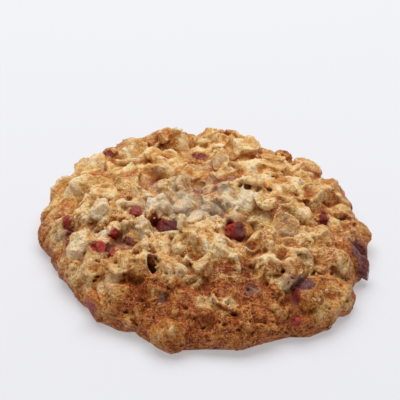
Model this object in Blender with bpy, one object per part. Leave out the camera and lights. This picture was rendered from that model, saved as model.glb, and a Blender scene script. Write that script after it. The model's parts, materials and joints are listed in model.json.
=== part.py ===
"""An oat cranberry cookie: one lumpy baked piece of dough with rolled oats fused into
its crust, and dried cranberries, each a solid of its own, seated in pockets of the dough.

Metres, +Z up. The origin is on the table under the middle of the cookie. The cookie is
seen from -Y, with +X to the right.
"""

import math
import random

import bmesh
import bpy
from mathutils import Matrix, Vector, noise

MM = 0.001

# Driving dimensions of the whole cookie.
SETTLE = Vector((-0.4 * MM, -0.6 * MM, 0.0))  # brings the middle of the cookie to the origin
CROWN_HEIGHT = 16.0 * MM  # the middle of the top, before lumps
BULGE_HEIGHT = 4.0 * MM  # where the rim is widest
FOOT_SHARE = 0.93  # the foot's radius as a share of the rim's
FOOT_DIP = 1.5 * MM  # the raw underside hangs this far below the table, and is cut flat
CROWN_CENTRE = Vector((-1.0 * MM, 5.0 * MM))  # the dome leans back a little
DOME_ROUNDNESS = 2.4  # higher is flatter on top
DOME_FALL = 0.62  # lower is steeper at the rim

# Radius of the rim every 15 degrees, anticlockwise from +X, as the dough spread in baking.
RIM_RADII = [
    r * MM
    for r in (
        44.6, 42.2, 43.6, 44.6, 45.4, 46.0, 46.4, 47.0, 48.2, 48.0, 47.6, 45.4,
        42.6, 40.2, 38.8, 40.6, 40.0, 44.2, 43.4, 44.4, 44.4, 46.2, 44.6, 44.2,
    )
]

# The clumps that stand out of the dome: plan x and y, radius and rise, in mm.
LUMPS = [
    # along the back edge, where they make the skyline
    (-10.5, 38.5, 6.8, 4.4),
    (4.5, 39.0, 5.6, 3.8),
    (10.5, 35.5, 5.8, 2.8),
    (17.0, 31.0, 6.4, 1.8),
    (-20.4, 37.5, 6.6, 4.7),
    (-31.0, 28.0, 6.5, 1.6),
    (-38.0, 19.0, 6.0, 1.8),
    (27.0, 29.0, 6.5, 1.8),
    (-2.0, 43.0, 5.0, 1.6),
    # over the middle
    (-22.0, 20.0, 7.0, 1.6),
    (-8.0, 24.0, 6.5, 1.3),
    (6.0, 17.0, 6.5, 2.0),
    (11.0, 6.0, 8.0, 2.8),
    (-6.0, 8.0, 7.0, 1.8),
    (24.0, 14.0, 6.0, 1.8),
    (22.0, -2.0, 7.5, 2.4),
    (33.0, 9.0, 5.5, 1.6),
    (-1.5, -12.5, 5.6, 3.0),
    (-28.0, 5.0, 6.5, 2.2),
    (-18.0, -7.5, 4.6, 2.0),
    # down the front
    (3.0, -21.0, 8.4, 3.2),
    (-10.5, -28.5, 5.4, 2.8),
    (16.5, -13.5, 5.2, 2.2),
    (27.0, -14.0, 5.4, 2.0),
    (20.5, -23.5, 6.8, 2.6),
    (-33.5, -9.0, 4.6, 2.0),
    (-29.5, -18.5, 5.0, 2.2),
    (-19.5, -21.5, 4.8, 1.8),
    (36.0, -15.0, 4.4, 2.2),
    (3.5, -35.5, 6.0, 1.6),
    # round the rim
    (-24.0, -33.0, 7.4, 2.6),
    (-9.5, -44.0, 4.8, 3.2),
    (10.0, -42.0, 8.0, 1.4),
    (30.0, -35.0, 7.2, 2.6),
    (38.5, -26.5, 5.6, 2.4),
    (-38.0, -17.0, 5.0, 1.4),
    (-41.0, 3.0, 6.0, 0.8),
    (37.5, 20.5, 6.2, 1.8),
    (43.0, 6.0, 5.6, 1.4),
    (20.0, 39.0, 6.0, 1.2),
]
LUMP_BLEND = 5.0  # how sharply one clump meets the next

# Pits between the clumps, some with a berry in them: plan x and y, radius and depth, in mm.
PITS = [
    (-13.4, -24.8, 2.3, 3.4),
    (-16.0, 11.0, 3.0, 1.6),
    (2.0, -3.0, 4.0, 1.8),
    (30.5, -22.5, 2.8, 1.8),
    (-4.0, 34.0, 3.4, 1.6),
    (-9.6, -6.2, 6.6, 2.2),
    (9.8, -9.8, 6.4, 2.2),
    (-18.6, -0.4, 4.2, 0.8),
    (-19.2, -12.0, 4.6, 1.2),
    (32.2, 0.8, 4.4, 1.0),
    (-3.4, 27.2, 5.6, 1.4),
    (5.4, 26.8, 4.0, 1.0),
]

# The smaller clumps, spread over the whole crust: how many, radius and rise.
SMALL_CLUMPS = 190
SMALL_RADIUS = (2.4 * MM, 4.4 * MM)
SMALL_RISE = (0.7 * MM, 2.2 * MM)

# The dough ran out into a more even band along the front of the rim. The band's inner edge
# as a share of the radius, how much nearer the crown that is right at the front, and over
# what share of the radius the band begins. Small clumps are lower there by BAND_CALM, and
# one oat in BAND_OATS is left.
BAND_START = 1.0
BAND_FRONT = 0.38
BAND_EDGE = 0.12
BAND_CALM = 0.55
BAND_OATS = 3

# Unevenness of the crust between the clumps: (height, width) of each layer of ripples.
RIPPLES = [(1.1 * MM, 8.5 * MM), (0.55 * MM, 4.0 * MM)]

BODY_SEGMENTS = 150
DOME_RINGS = 46
SIDE_RINGS = 9
BODY_TRIANGLES = 4600  # kept of the body, where its relief needs them

# Cranberries: plan x and y, length, width and thickness, heading in degrees, and how deep
# the middle of the berry lies under the crust, all in mm.
CRANBERRIES = [
    (-18.6, 0.0, 5.4, 4.4, 4.0, 20, 0.6),
    (-9.6, -5.4, 9.6, 6.4, 5.0, -28, 0.9),
    (9.7, -8.0, 7.8, 6.8, 5.4, 75, 0.6),
    (32.2, 1.0, 6.4, 3.8, 4.0, -65, 0.7),
    (41.0, -11.6, 13.0, 7.0, 6.4, 80, 1.0),
    (-37.2, -0.8, 8.4, 3.9, 4.0, 106, 1.0),
    (-24.2, -7.2, 5.2, 4.2, 4.0, -40, 0.7),
    (-26.8, -13.4, 8.0, 4.2, 4.0, -26, 0.8),
    (-19.2, -11.4, 5.0, 4.2, 4.0, 5, 1.1),
    (-30.2, -33.2, 7.0, 5.2, 4.8, -50, 0.5),
    (27.4, -31.4, 10.0, 7.0, 5.6, 40, 0.8),
    (26.0, -39.6, 4.2, 3.4, 3.4, 15, 0.7),
    (-26.6, 37.4, 8.2, 5.2, 4.8, 30, 0.7),
    (-3.4, 27.2, 8.4, 5.2, 4.6, -10, 1.1),
    (5.4, 26.8, 5.2, 4.2, 4.0, 60, 0.8),
    (22.6, 36.4, 8.0, 5.2, 4.6, -35, 0.8),
    (-12.0, 44.6, 7.6, 5.4, 4.8, 5, 0.4),
    (8.0, 45.4, 6.8, 5.0, 4.6, -10, 0.6),
]
WRINKLE_DEPTH = 0.16  # of a berry's radius
WRINKLES_ACROSS = 1.4
POCKET_GAP = 0.34 * MM  # clear space between a berry and the dough round it

# Rolled oats: the larger ones, spread evenly over the crust and fused to it.
TOP_OATS = 82
RIM_OATS = 18
OAT_LENGTH = 7.4 * MM
OAT_WIDTH = 5.6 * MM
OAT_THICKNESS = 1.5 * MM
OAT_SIDES = 7
OAT_BEND = 0.9 * MM
OAT_SIZE_SPREAD = 0.22
OAT_RAGGED = 0.13  # unevenness of an oat's edge
OAT_TILT = (4.0, 24.0)  # degrees from lying flat on the crust
OAT_PROUD = 0.1 * MM
GOLDEN_ANGLE = math.pi * (3.0 - math.sqrt(5.0))
SEED = 11
WELD = 0.015 * MM  # corners nearer than this are made one

DOUGH_COLOUR = (0.46, 0.26, 0.10, 1.0)
BERRY_COLOUR = (0.20, 0.012, 0.018, 1.0)


# --- The outline and the dome ------------------------------------------------------------


def rim_radius(angle):
    """The rim's radius at an angle in radians, on a smooth closed curve through RIM_RADII."""
    count = len(RIM_RADII)
    place = (angle / (2.0 * math.pi)) % 1.0 * count
    first = int(place)
    t = place - first
    before, start, end, after = (RIM_RADII[(first + i) % count] for i in (-1, 0, 1, 2))
    bend = 2 * before - 5 * start + 4 * end - after
    twist = 3 * (start - end) + after - before
    return 0.5 * (2 * start + t * (end - before) + t * t * bend + t * t * t * twist)


def rim_point(angle):
    return Vector((math.cos(angle), math.sin(angle))) * rim_radius(angle)


def dome_point(angle, reach):
    """A point of the bare dome: reach is 0 at the crown, 1 at the rim and 2 at the foot."""
    rim = rim_point(angle)
    if reach <= 1.0:
        share = math.sin(reach * math.pi / 2)
        plan = CROWN_CENTRE.lerp(rim, share)
        rise = max(0.0, 1.0 - share**DOME_ROUNDNESS) ** DOME_FALL
        return Vector((*plan, BULGE_HEIGHT + (CROWN_HEIGHT - BULGE_HEIGHT) * rise))
    turn = (reach - 1.0) * math.pi / 2
    plan = rim * (FOOT_SHARE + (1.0 - FOOT_SHARE) * math.cos(turn))
    return Vector((*plan, BULGE_HEIGHT - (BULGE_HEIGHT + FOOT_DIP) * math.sin(turn)))


def dome_normal(angle, reach):
    step = 0.01
    along = dome_point(angle, min(2.0, reach + step)) - dome_point(angle, max(0.02, reach - step))
    around = dome_point(angle + step, reach) - dome_point(angle - step, reach)
    if around.length < 1e-7:
        return Vector((0.0, 0.0, 1.0))
    return along.cross(around).normalized()


def dome_place(x, y):
    """The (angle, reach) of the dome's point over a place in plan."""
    offset = Vector((x, y)) - CROWN_CENTRE
    if offset.length < 1e-6:
        return 0.0, 0.0

    def miss(angle):
        return offset.normalized().angle(rim_point(angle) - CROWN_CENTRE)

    angle = min((math.radians(half) / 2 for half in range(720)), key=miss)
    share = offset.length / (rim_point(angle) - CROWN_CENTRE).length
    return angle, math.asin(min(0.995, share)) * 2 / math.pi


def on_the_dome(places):
    """Each (x, y, radius, height) in mm as (middle on the bare dome, radius, height)."""
    found = []
    for x, y, radius, height in places:
        middle = dome_point(*dome_place(x * MM, y * MM))
        found.append((middle, radius * MM, height * MM))
    return found


def even_band(angle, reach):
    """How far a place lies within the even band at the front, from 0 to 1."""
    share = math.sin(min(1.0, reach) * math.pi / 2)
    start = BAND_START - BAND_FRONT * max(0.0, -math.sin(angle))
    return min(1.0, max(0.0, (share - start) / BAND_EDGE))


def small_clumps():
    """The smaller clumps as (middle, radius, rise), on a sunflower's spiral over the dome."""
    draw = random.Random(SEED)
    found = []
    for i in range(SMALL_CLUMPS):
        share = (i + 0.5) / SMALL_CLUMPS
        angle = i * GOLDEN_ANGLE + draw.uniform(-0.06, 0.06)
        reach = min(1.5, math.sqrt(share) * 1.12 + draw.uniform(-0.03, 0.03))
        middle = dome_point(angle, max(0.0, reach))
        radius, rise = draw.uniform(*SMALL_RADIUS), draw.uniform(*SMALL_RISE)
        found.append((middle, radius, rise * (1.0 - BAND_CALM * even_band(angle, reach))))
    return found


LARGE = on_the_dome(LUMPS)
SMALL = small_clumps()
HOLLOWS = on_the_dome(PITS)


def clump_height(point, clumps):
    """The rise of domed clumps at a point, each meeting its neighbours in a crease."""
    total = 0.0
    for middle, radius, rise in clumps:
        off = (point - middle).length / radius
        if off < 1.0:
            total += (rise / MM * math.sqrt(1.0 - off * off)) ** LUMP_BLEND
    return total ** (1.0 / LUMP_BLEND) * MM


def relief(point):
    """How far the crust stands off the bare dome at a point: clumps, pits, then ripples."""
    height = clump_height(point, LARGE) + clump_height(point, SMALL)
    for middle, radius, depth in HOLLOWS:
        off = (point - middle).length / radius
        height -= depth * max(0.0, 1.0 - off * off)
    for layer, (depth, width) in enumerate(RIPPLES):
        shift = Vector((3.1 * layer + 0.7, 1.9 * layer, 5.3))
        height += depth * noise.noise(point / width + shift)
    return height


def crust_point(angle, reach):
    """A point of the crust, with its clumps and ripples."""
    point = dome_point(angle, reach)
    calm = min(1.0, max(0.0, 2.0 - reach) * 2.0)  # the foot stays even
    return point + dome_normal(angle, reach) * relief(point) * calm


def crust_normal(angle, reach):
    """Which way the crust faces at a point, over a span of about a clump's radius."""
    step = 0.045
    out, back = min(1.9, reach + step), max(0.03, reach - step)
    along = crust_point(angle, out) - crust_point(angle, back)
    turn = step / max(0.25, math.sin(min(1.0, reach) * math.pi / 2))
    around = crust_point(angle + turn, reach) - crust_point(angle - turn, reach)
    return along.cross(around).normalized()


# --- Meshes ------------------------------------------------------------------------------


def new_object(name, mesh, material, collection):
    """An object holding the mesh, in the collection."""
    mesh.materials.append(material)
    made = bpy.data.objects.new(name, mesh)
    collection.objects.link(made)
    return made


def new_collection(name):
    made = bpy.data.collections.new(name)
    bpy.context.scene.collection.children.link(made)
    return made


def mesh_from(shape, name):
    bmesh.ops.recalc_face_normals(shape, faces=shape.faces)
    mesh = bpy.data.meshes.new(name)
    shape.to_mesh(mesh)
    shape.free()
    return mesh


def apply_modifiers(target):
    """Makes what the object's modifiers give its own mesh."""
    graph = bpy.context.evaluated_depsgraph_get()
    mesh = bpy.data.meshes.new_from_object(target.evaluated_get(graph))
    target.modifiers.clear()
    target.data = mesh


def dough_body(material):
    """The dome with its relief, as rings joined by bands, thinned to what the relief needs."""
    shape = bmesh.new()
    reaches = [i / DOME_RINGS for i in range(1, DOME_RINGS + 1)]
    reaches += [1.0 + (i + 1) / SIDE_RINGS for i in range(SIDE_RINGS)]
    top = shape.verts.new(crust_point(0.0, 0.0))
    rings = []
    for reach in reaches:
        angles = (2 * math.pi * i / BODY_SEGMENTS for i in range(BODY_SEGMENTS))
        rings.append([shape.verts.new(crust_point(angle, reach)) for angle in angles])
    for i in range(BODY_SEGMENTS):
        after = (i + 1) % BODY_SEGMENTS
        shape.faces.new((top, rings[0][i], rings[0][after]))
        for inner, outer in zip(rings, rings[1:]):
            shape.faces.new((inner[i], outer[i], outer[after], inner[after]))
    foot = shape.verts.new((0.0, 0.0, -FOOT_DIP))
    for i in range(BODY_SEGMENTS):
        shape.faces.new((rings[-1][i], foot, rings[-1][(i + 1) % BODY_SEGMENTS]))
    home = bpy.context.scene.collection
    body = new_object("cookie", mesh_from(shape, "cookie"), material, home)
    thin = body.modifiers.new("thin", "DECIMATE")
    body_triangles = BODY_SEGMENTS * 2 * len(reaches)
    thin.ratio = BODY_TRIANGLES / body_triangles
    thin.use_collapse_triangulate = True
    apply_modifiers(body)
    return body


def oat_mesh(length, width, bend, edge):
    """A rolled oat: a thin ragged oval, dished or domed, its edge as the numbers in edge."""
    shape = bmesh.new()
    rims = []
    for side in (1, -1):
        ring = []
        for i, ragged in enumerate(edge):
            turn = 2 * math.pi * (i + 0.5) / OAT_SIDES
            x = math.cos(turn) * ragged * length / 2
            y = math.sin(turn) * ragged * width / 2
            cup = bend * ragged * ragged
            ring.append(shape.verts.new((x, y, cup + side * OAT_THICKNESS * 0.32)))
        rims.append(ring)
    groove = 0.36 * OAT_THICKNESS
    above = shape.verts.new((0.0, 0.0, groove))
    below = shape.verts.new((0.0, 0.0, -0.5 * OAT_THICKNESS))
    for i in range(OAT_SIDES):
        after = (i + 1) % OAT_SIDES
        shape.faces.new((above, rims[0][i], rims[0][after]))
        shape.faces.new((below, rims[1][after], rims[1][i]))
        shape.faces.new((rims[0][i], rims[1][i], rims[1][after], rims[0][after]))
    return mesh_from(shape, "oat")


def facing(normal, heading, tilt=0.0):
    """The turn that lays a piece on the crust, heading radians round, tipped by tilt."""
    upright = normal.to_track_quat("Z", "Y").to_matrix().to_4x4()
    return upright @ Matrix.Rotation(heading, 4, "Z") @ Matrix.Rotation(tilt, 4, "X")


def oat_places(draw):
    """(angle, reach) of every oat: a sunflower's spiral over the top, then a ring at the rim."""
    for i in range(TOP_OATS):
        share = math.sqrt((i + 0.5) / TOP_OATS) * 0.965
        angle = i * GOLDEN_ANGLE + draw.uniform(-0.04, 0.04)
        yield angle, math.asin(share) * 2 / math.pi
    for i in range(RIM_OATS):
        angle = 2 * math.pi * (i + draw.uniform(0.2, 0.8)) / RIM_OATS
        yield angle, draw.uniform(0.92, 1.2)


def clear_of_berries(point, berries, margin):
    return all((point - middle).length > reach + margin for middle, reach in berries)


def oats(material, berries):
    """The oats in a collection of their own, clear of the berries and of the table."""
    draw = random.Random(SEED)
    gathered = new_collection("oats")
    for number, (angle, reach) in enumerate(oat_places(draw)):
        size = 1.0 + draw.uniform(-OAT_SIZE_SPREAD, OAT_SIZE_SPREAD)
        length, width = OAT_LENGTH * size, OAT_WIDTH * size * draw.uniform(0.85, 1.1)
        tilt = math.radians(draw.uniform(*OAT_TILT))
        heading = draw.uniform(0.0, 2 * math.pi)
        bend = OAT_BEND * draw.uniform(-1.0, 0.35)
        edge = [1.0 + draw.uniform(-OAT_RAGGED, OAT_RAGGED) for _ in range(OAT_SIDES)]
        normal = crust_normal(angle, reach)
        middle = crust_point(angle, reach) + normal * OAT_PROUD
        if middle.z < length / 2 * 0.8 or not clear_of_berries(middle, berries, length / 2):
            continue
        if number % BAND_OATS and even_band(angle, reach) > 0.5:
            continue
        oat = new_object("oat", oat_mesh(length, width, bend, edge), material, gathered)
        oat.matrix_world = Matrix.Translation(middle) @ facing(normal, heading, tilt)
    return gathered


def berry_shape(size, seed, grow=0.0):
    """A dried cranberry's mesh data: a ball pulled to its size, puckered, and grown outwards."""
    shape = bmesh.new()
    bmesh.ops.create_icosphere(shape, subdivisions=2, radius=1.0)
    for vert in shape.verts:
        way = vert.co.normalized()
        pucker = noise.noise(way * WRINKLES_ACROSS + Vector((seed * 7.3, 0.0, 2.1)))
        vert.co = way * (1.0 + WRINKLE_DEPTH * 2.0 * pucker)
        vert.co = Vector(c * s / 2 for c, s in zip(vert.co, size))
    shape.normal_update()
    for vert, out in [(v, v.normal.copy()) for v in shape.verts]:
        vert.co += out * grow
    return shape


def cranberries(material):
    """The berries as nodes, with (middle, reach) of each and a collection of pocket cutters."""
    places, cutters = [], new_collection("cutters")
    for i, (x, y, length, width, thick, heading, depth) in enumerate(CRANBERRIES, 1):
        angle, reach = dome_place(x * MM, y * MM)
        normal = dome_normal(angle, reach)
        middle = crust_point(angle, reach) - normal * depth * MM
        size = (length * MM, width * MM, thick * MM)
        place = Matrix.Translation(middle) @ facing(normal, math.radians(heading))
        name = f"cranberry_{i:02d}"
        home = bpy.context.scene.collection
        berry = new_object(name, mesh_from(berry_shape(size, i), name), material, home)
        grown = mesh_from(berry_shape(size, i, POCKET_GAP), "pocket")
        pocket = new_object("pocket", grown, material, cutters)
        berry.matrix_world = pocket.matrix_world = place
        places.append((middle, length * MM / 2))
    return places, cutters


def table_slab():
    """A slab under the table's surface, which cuts the cookie's base flat."""
    shape = bmesh.new()
    bmesh.ops.create_cube(shape, size=1.0)
    span, depth = 130.0 * MM, 20.0 * MM
    for vert in shape.verts:
        vert.co = Vector((vert.co.x * span, vert.co.y * span, (vert.co.z - 0.5) * depth))
    return mesh_from(shape, "table")


def combine(target, collection, operation):
    """One Boolean with a whole collection, applied, with the collection then removed."""
    joint = target.modifiers.new(operation.lower(), "BOOLEAN")
    joint.operation = operation
    joint.operand_type = "COLLECTION"
    joint.collection = collection
    joint.solver = "MANIFOLD"
    apply_modifiers(target)
    for piece in list(collection.objects):
        bpy.data.objects.remove(piece)
    bpy.data.collections.remove(collection)


def clean_up(target):
    """Drops any crumb a cut has freed, welds stray corners and cuts the faces in triangles."""
    shape = bmesh.new()
    shape.from_mesh(target.data)
    left, pieces = set(shape.verts), []
    while left:
        piece, edge = set(), [left.pop()]
        while edge:
            vert = edge.pop()
            piece.add(vert)
            near = {e.other_vert(vert) for e in vert.link_edges} & left
            left -= near
            edge += near
        pieces.append(piece)
    kept = max(pieces, key=len)
    scraps = [vert for vert in shape.verts if vert not in kept]
    bmesh.ops.delete(shape, geom=scraps, context="VERTS")
    bmesh.ops.remove_doubles(shape, verts=shape.verts, dist=WELD)
    bmesh.ops.dissolve_degenerate(shape, edges=shape.edges, dist=WELD)
    bends = [vert for vert in shape.verts if len(vert.link_edges) == 2]
    bmesh.ops.dissolve_verts(shape, verts=bends)
    bmesh.ops.triangulate(shape, faces=shape.faces, ngon_method="EAR_CLIP")
    shape.to_mesh(target.data)
    shape.free()


def food_material(name, colour, roughness):
    material = bpy.data.materials.new(name)
    material.use_nodes = True
    shader = material.node_tree.nodes["Principled BSDF"]
    shader.inputs["Base Color"].default_value = colour
    shader.inputs["Roughness"].default_value = roughness
    shader.inputs["Metallic"].default_value = 0.0
    return material


def main():
    for old in list(bpy.data.objects):
        bpy.data.objects.remove(old)
    dough = food_material("baked_dough", DOUGH_COLOUR, 0.75)
    berry = food_material("dried_cranberry", BERRY_COLOUR, 0.4)
    berries, cutters = cranberries(berry)
    new_object("table", table_slab(), dough, cutters)
    cookie = dough_body(dough)
    combine(cookie, oats(dough, berries), "UNION")
    combine(cookie, cutters, "DIFFERENCE")
    clean_up(cookie)
    cookie.data.materials.clear()
    cookie.data.materials.append(dough)
    for made in bpy.context.scene.collection.objects:
        made.location += SETTLE


main()
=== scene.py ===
"""Dresses the solids of an oat cranberry cookie: craggy baked dough full of rolled oats,
crumbs on it and wrinkled dried cranberries in it, on a pale floor in soft studio light.

Metres, +Z up. The origin is on the table under the middle of the cookie, whose shown side
faces -Y, with +X to the right.
"""

import json
import math
import random

import bpy
import numpy as np
from mathutils import Matrix, Vector, noise

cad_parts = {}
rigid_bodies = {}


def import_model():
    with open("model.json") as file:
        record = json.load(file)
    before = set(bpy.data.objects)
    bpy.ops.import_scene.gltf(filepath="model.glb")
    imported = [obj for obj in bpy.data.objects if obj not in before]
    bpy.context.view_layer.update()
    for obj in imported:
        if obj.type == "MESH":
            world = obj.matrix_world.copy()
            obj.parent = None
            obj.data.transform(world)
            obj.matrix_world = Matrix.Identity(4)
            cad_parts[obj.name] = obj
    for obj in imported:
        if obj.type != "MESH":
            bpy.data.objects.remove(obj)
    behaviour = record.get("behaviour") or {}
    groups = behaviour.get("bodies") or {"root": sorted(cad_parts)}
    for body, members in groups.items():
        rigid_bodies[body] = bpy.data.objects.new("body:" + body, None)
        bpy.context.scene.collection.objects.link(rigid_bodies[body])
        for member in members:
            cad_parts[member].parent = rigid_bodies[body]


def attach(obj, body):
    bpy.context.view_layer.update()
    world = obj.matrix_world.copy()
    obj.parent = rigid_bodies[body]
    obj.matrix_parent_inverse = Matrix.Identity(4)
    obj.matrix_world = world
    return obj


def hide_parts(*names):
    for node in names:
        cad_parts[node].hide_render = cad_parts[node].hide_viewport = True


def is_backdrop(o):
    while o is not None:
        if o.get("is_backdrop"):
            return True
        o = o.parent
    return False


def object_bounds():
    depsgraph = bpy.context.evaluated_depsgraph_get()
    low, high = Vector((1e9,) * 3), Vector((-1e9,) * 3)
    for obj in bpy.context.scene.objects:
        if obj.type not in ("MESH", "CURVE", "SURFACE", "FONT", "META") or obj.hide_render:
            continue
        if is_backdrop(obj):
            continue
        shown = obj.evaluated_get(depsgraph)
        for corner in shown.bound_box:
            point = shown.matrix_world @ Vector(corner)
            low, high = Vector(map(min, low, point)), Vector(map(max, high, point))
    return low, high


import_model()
CAD_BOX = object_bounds()

bl_info = {
    "name": "Oat cranberry cookie",
    "version": (1, 0, 0),
    "blender": (4, 5, 0),
    "location": "View3D > Sidebar > Cookie",
    "description": "Dresses an oat cranberry cookie's solids in dough, oats and berries",
    "category": "Add Mesh",
}

MM = 0.001

# --- The form, as the solids have it ------------------------------------------------------

SETTLE = np.array((-0.4, -0.6, 0.0)) * MM  # from where the cookie is drawn to where it lies
CROWN_CENTRE = np.array((-1.0, 5.0)) * MM
CROWN_HEIGHT = 16.0 * MM
BULGE_HEIGHT = 4.0 * MM  # where the rim reaches out furthest
FOOT_SHARE = 0.93  # of the rim's radius
FOOT_DIP = 1.5 * MM  # how far the foot would go on under the table
DOME_ROUNDNESS = 2.4
DOME_FALL = 0.62

# Radius of the rim every 15 degrees, anticlockwise from +X, in mm.
RIM_RADII = (
    44.6, 42.2, 43.6, 44.6, 45.4, 46, 46.4, 47, 48.2, 48, 47.6, 45.4, 42.6, 40.2, 38.8, 40.6, 40,
    44.2, 43.4, 44.4, 44.4, 46.2, 44.6, 44.2,
)  # fmt: skip

# Clumps that stand out of the dome: plan x and y, radius and rise, in mm.
LUMPS = (
    (-10.5, 38.5, 6.8, 4.4), (4.5, 39, 5.6, 3.8), (10.5, 35.5, 5.8, 2.8), (17, 31, 6.4, 1.8),
    (-20.4, 37.5, 6.6, 4.7), (-31, 28, 6.5, 1.6), (-38, 19, 6, 1.8), (27, 29, 6.5, 1.8),
    (-2, 43, 5, 1.6), (-22, 20, 7, 1.6), (-8, 24, 6.5, 1.3), (6, 17, 6.5, 2), (11, 6, 8, 2.8),
    (-6, 8, 7, 1.8), (24, 14, 6, 1.8), (22, -2, 7.5, 2.4), (33, 9, 5.5, 1.6),
    (-1.5, -12.5, 5.6, 3), (-28, 5, 6.5, 2.2), (-18, -7.5, 4.6, 2), (3, -21, 8.4, 3.2),
    (-10.5, -28.5, 5.4, 2.8), (16.5, -13.5, 5.2, 2.2), (27, -14, 5.4, 2), (20.5, -23.5, 6.8, 2.6),
    (-33.5, -9, 4.6, 2), (-29.5, -18.5, 5, 2.2), (-19.5, -21.5, 4.8, 1.8), (36, -15, 4.4, 2.2),
    (3.5, -35.5, 6, 1.6), (-24, -33, 7.4, 2.6), (-9.5, -44, 4.8, 3.2), (10, -42, 8, 1.4),
    (30, -35, 7.2, 2.6), (38.5, -26.5, 5.6, 2.4), (-38, -17, 5, 1.4), (-41, 3, 6, 0.8),
    (37.5, 20.5, 6.2, 1.8), (43, 6, 5.6, 1.4), (20, 39, 6, 1.2),
)  # fmt: skip
LUMP_BLEND = 5.0  # the higher, the sharper the creases between clumps

SMALL_CLUMPS = 190
SMALL_RADIUS = (2.4 * MM, 4.4 * MM)
SMALL_RISE = (0.7 * MM, 2.2 * MM)

# The more even band at the front, where small clumps are lower and oats fewer.
BAND_START = 1.0
BAND_FRONT = 0.38
BAND_EDGE = 0.12
BAND_CALM = 0.55
BAND_OATS = 3

# Pits between the clumps: plan x and y, radius and depth, in mm.
PITS = (
    (-13.4, -24.8, 2.3, 3.4), (-16, 11, 3, 1.6), (2, -3, 4, 1.8), (30.5, -22.5, 2.8, 1.8),
    (-4, 34, 3.4, 1.6), (-9.6, -6.2, 6.6, 2.2), (9.8, -9.8, 6.4, 2.2), (-18.6, -0.4, 4.2, 0.8),
    (-19.2, -12, 4.6, 1.2), (32.2, 0.8, 4.4, 1), (-3.4, 27.2, 5.6, 1.4), (5.4, 26.8, 4, 1),
)  # fmt: skip

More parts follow.
